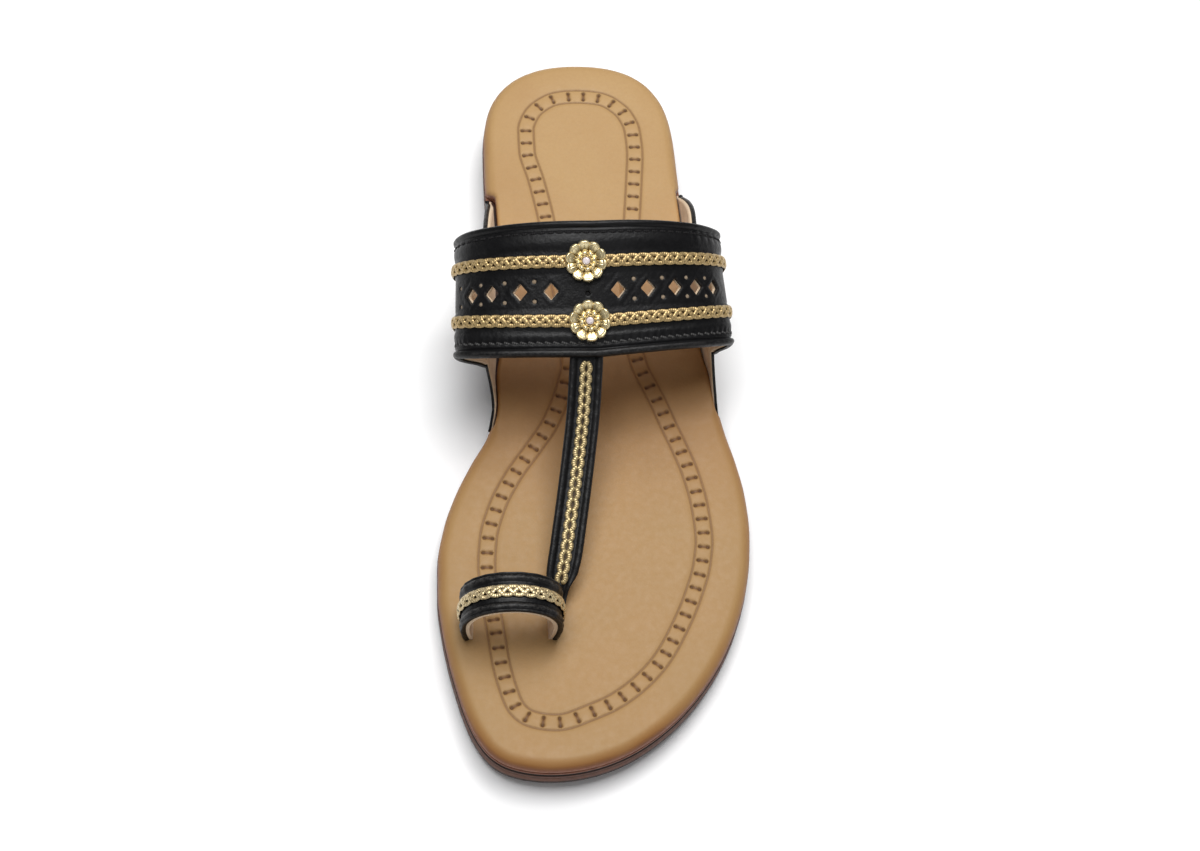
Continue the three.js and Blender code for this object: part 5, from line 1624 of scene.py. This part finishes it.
# ------------------------------------------------------------------ rosettes
def rosette(name, across, x):
    q0 = arch_at(across, x)
    du, dt, n = band_frame(np.array([across]), np.array([q0]))
    c = band_point(np.array([across]), np.array([q0]))[0]
    n = n[0]
    e1 = unit(du[0])
    e2 = unit(np.cross(n, e1))
    petals = 10
    na, nr = 360, 46
    A = 2 * PI * np.arange(na) / na
    r = np.linspace(0.02, 1, nr) ** 0.9
    AA, RR = np.meshgrid(A, r, indexing="ij")
    turn = 0.12
    ph = np.mod(petals * (AA + turn) / (2 * PI), 1) - 0.5               # -0.5..0.5 across a petal
    edge = (ROSETTE_R + 0.25) * (0.86 + 0.14 * np.sqrt(np.clip(1 - (2 * ph) ** 2, 0, 1)))
    rad = RR * edge
    # outer petals: domed lobes cupped up at their rims
    lobe = np.clip(1 - (2 * ph) ** 2, 0, 1)
    body = step(2.1, 3.2, rad)
    tip = np.clip((rad - 2.3) / (edge - 2.3), 0, 1)
    # the flower is a shallow cup: its petals rise to their rims
    h = 0.34 + 0.98 * step(2.9, 6.1, rad)
    h += body * 0.36 * lobe ** 0.6 * (0.35 + 0.65 * smooth(tip / 0.5))
    h += body * 0.38 * bump(tip - 0.84, 0.15) * (0.5 + 0.5 * lobe)
    h -= body * 0.16 * bump(np.abs(np.abs(ph) - 0.5), 0.10) * (1 - 0.5 * tip)
    h -= 0.14 * bump(rad - 3.45, 0.5)
    # a vein down each petal
    h -= body * 0.08 * bump(ph, 0.06) * bump(tip - 0.45, 0.4)
    # inner ring of small petals round the stone's cup
    p2 = np.mod(8 * (AA - 0.2) / (2 * PI), 1) - 0.5
    inner = bump(rad - 2.45, 1.1)
    h += inner * (0.80 * np.clip(1 - (2 * p2) ** 2, 0, 1) ** 0.7 + 0.1)
    h += 0.70 * bump(rad - 1.42, 0.34)
    h -= 0.10 * bump(rad, 1.15)
    # rim curls down to the band
    h -= 0.9 * (1 - np.sqrt(np.clip(1 - np.clip((RR - 0.93) / 0.07, 0, 1) ** 2, 0, 1)))
    lift = 0.30 + 0.30
    dome = -0.020 * rad ** 2
    H = lift + h + dome + 0.55
    cav = np.clip(1.15 - (h - 0.25) * 1.05, 0, 1) * (0.35 + 0.65 * step(0.0, 0.4, bump(np.abs(np.abs(ph) - 0.5), 0.16) * body + bump(rad - 3.5, 0.45) * 0.8 + bump(rad - 1.85, 0.25)))
    cav = np.maximum(cav, 0.62 * body * bump(tip - 0.40, 0.36))
    pos = c + e1 * (rad * np.cos(AA))[..., None] + e2 * (rad * np.sin(AA))[..., None] + n * H[..., None]
    V = place(pos[..., 0], pos[..., 1], pos[..., 2]).reshape(-1, 3)
    base = c + e1 * ((edge[:, -1] - 0.35) * np.cos(A))[:, None] + e2 * ((edge[:, -1] - 0.35) * np.sin(A))[:, None] + n * (lift + 0.2)
    V = np.vstack([V, place(base[:, 0], base[:, 1], base[:, 2])])
    b0 = na * nr
    q = grid_faces(na, nr, wrap_u=True)
    i = np.arange(na)
    j = (i + 1) % na
    skirt = np.stack([i * nr + nr - 1, j * nr + nr - 1, b0 + j, b0 + i], -1)
    mid = c + n * (lift + h[:, 0].mean() + 0.55)
    low = c + n * (lift + 0.2)
    V = np.vstack([V, place(*mid)[None], place(*low)[None]])
    k = len(V) - 2
    t1 = np.stack([np.full(na, k), j * nr, i * nr], -1)
    t2 = np.stack([np.full(na, k + 1), b0 + i, b0 + j], -1)
    # face sense: the top grid has to look along the normal
    nn = unit(place(*(c + n))[None] - place(*c)[None])[0]
    g = q[:2000]
    if np.dot(np.cross(V[g[:, 1]] - V[g[:, 0]], V[g[:, 2]] - V[g[:, 0]]).sum(0), nn) < 0:
        q, skirt = q[:, ::-1], skirt[:, ::-1]
    nt = np.cross(V[t1[:, 1]] - V[t1[:, 0]], V[t1[:, 2]] - V[t1[:, 0]]).sum(0)
    if np.dot(nt, nn) < 0:
        t1 = t1[:, ::-1]
    nt = np.cross(V[t2[:, 1]] - V[t2[:, 0]], V[t2[:, 2]] - V[t2[:, 0]]).sum(0)
    if np.dot(nt, nn) > 0:
        t2 = t2[:, ::-1]
    ca = np.concatenate([cav.reshape(-1), np.full(na, 0.9), [0.9, 0.9]])
    make("rosette_%s_flower" % name, V, [np.vstack([q, skirt]), np.vstack([t1, t2])], M_ROSETTE, smooth_angle=70, attrs=dict(cav=ca), slot="rosette", node="rosette_%s" % name)
    # stone: a small cut crystal in the cup
    rings = [(0.0, 0.55), (0.62, 0.52), (1.02, 0.30), (1.14, 0.06), (0.7, -0.35), (0.05, -0.75)]
    vs, m = [], 16
    for rr, zz in rings:
        a = 2 * PI * (np.arange(m) + 0.5 * (rr > 1.05)) / m
        wob = rr * (1 + 0.03 * np.cos(8 * a)) if rr > 0.3 else np.full(m, max(rr, 0.02))
        p = c + e1 * (wob * np.cos(a))[:, None] + e2 * (wob * np.sin(a))[:, None] + n * (lift + 0.55 + 0.95 + zz)
        vs.append(place(p[:, 0], p[:, 1], p[:, 2]))
    V = np.stack(vs, 1).reshape(-1, 3)
    q = outward(V - V.mean(0), grid_faces(m, len(rings), wrap_u=True))
    i = np.arange(m)
    K = len(rings)
    lo, hi = i * K, i * K + K - 1
    V = np.vstack([V, V[lo].mean(0), V[hi].mean(0)])
    j = (i + 1) % m
    t1 = np.stack([np.full(m, len(V) - 2), j * K, i * K], -1)
    t2 = np.stack([np.full(m, len(V) - 1), i * K + K - 1, j * K + K - 1], -1)
    if np.dot(np.cross(V[t1[0, 1]] - V[t1[0, 0]], V[t1[0, 2]] - V[t1[0, 0]]), nn) < 0:
        t1 = t1[:, ::-1]
    if np.dot(np.cross(V[t2[0, 1]] - V[t2[0, 0]], V[t2[0, 2]] - V[t2[0, 0]]), nn) > 0:
        t2 = t2[:, ::-1]
    make("stone_%s" % name, V, [q, np.vstack([t1, t2])], M_STONE, smooth_angle=12, slot="stone")


for nm, ac, xx in ROSETTES:
    rosette(nm, ac, xx)


# ------------------------------------------------------------------ stitches
def stitch_rows():
    # the front row's lighter thread is a painted highlight
    for name, mat, T0, pitch, slant, length in (("band_stitching_rear", M_THREAD, 3.6, 2.7, 0.0, 1.9),
                                                ("band_stitching_front", M_THREAD_FRONT_LIT, BAND_DEEP - 4.3, 2.5, 0.28, 1.8)):
        b = Batch()
        R0, R1 = BAND_LO + 1.6, BAND_HI - 1.6
        count = int((R1 - R0) / pitch)
        for i in range(count):
            r = R0 + (R1 - R0) * (i + 0.5) / count + np.linspace(-length / 2, length / 2, 7)
            f = np.linspace(-1, 1, 7)
            T = T0 + slant * f
            off = band_relief(T, r) + 0.20 * np.sqrt(np.clip(1 - f ** 2, 0, 1)) - 0.02
            q, t = arch_of(r), T / BAND_DEEP
            _, _, n = band_frame(t, q)
            path = on_band(t, q, off)
            v, qd, tr = tube(path, np.stack([n[:, 0], -n[:, 1], n[:, 2]], -1), 0.00036, 0.00022 * (0.6 + 0.4 * np.sqrt(np.clip(1 - f ** 2, 0, 1))), 7)
            b.add(v, qd, tr, lay=np.concatenate([np.repeat(np.linspace(0, 3, 7), 7), [0, 0]]))
        b.make(name, mat, slot="thread")


stitch_rows()
eyelet_backs()
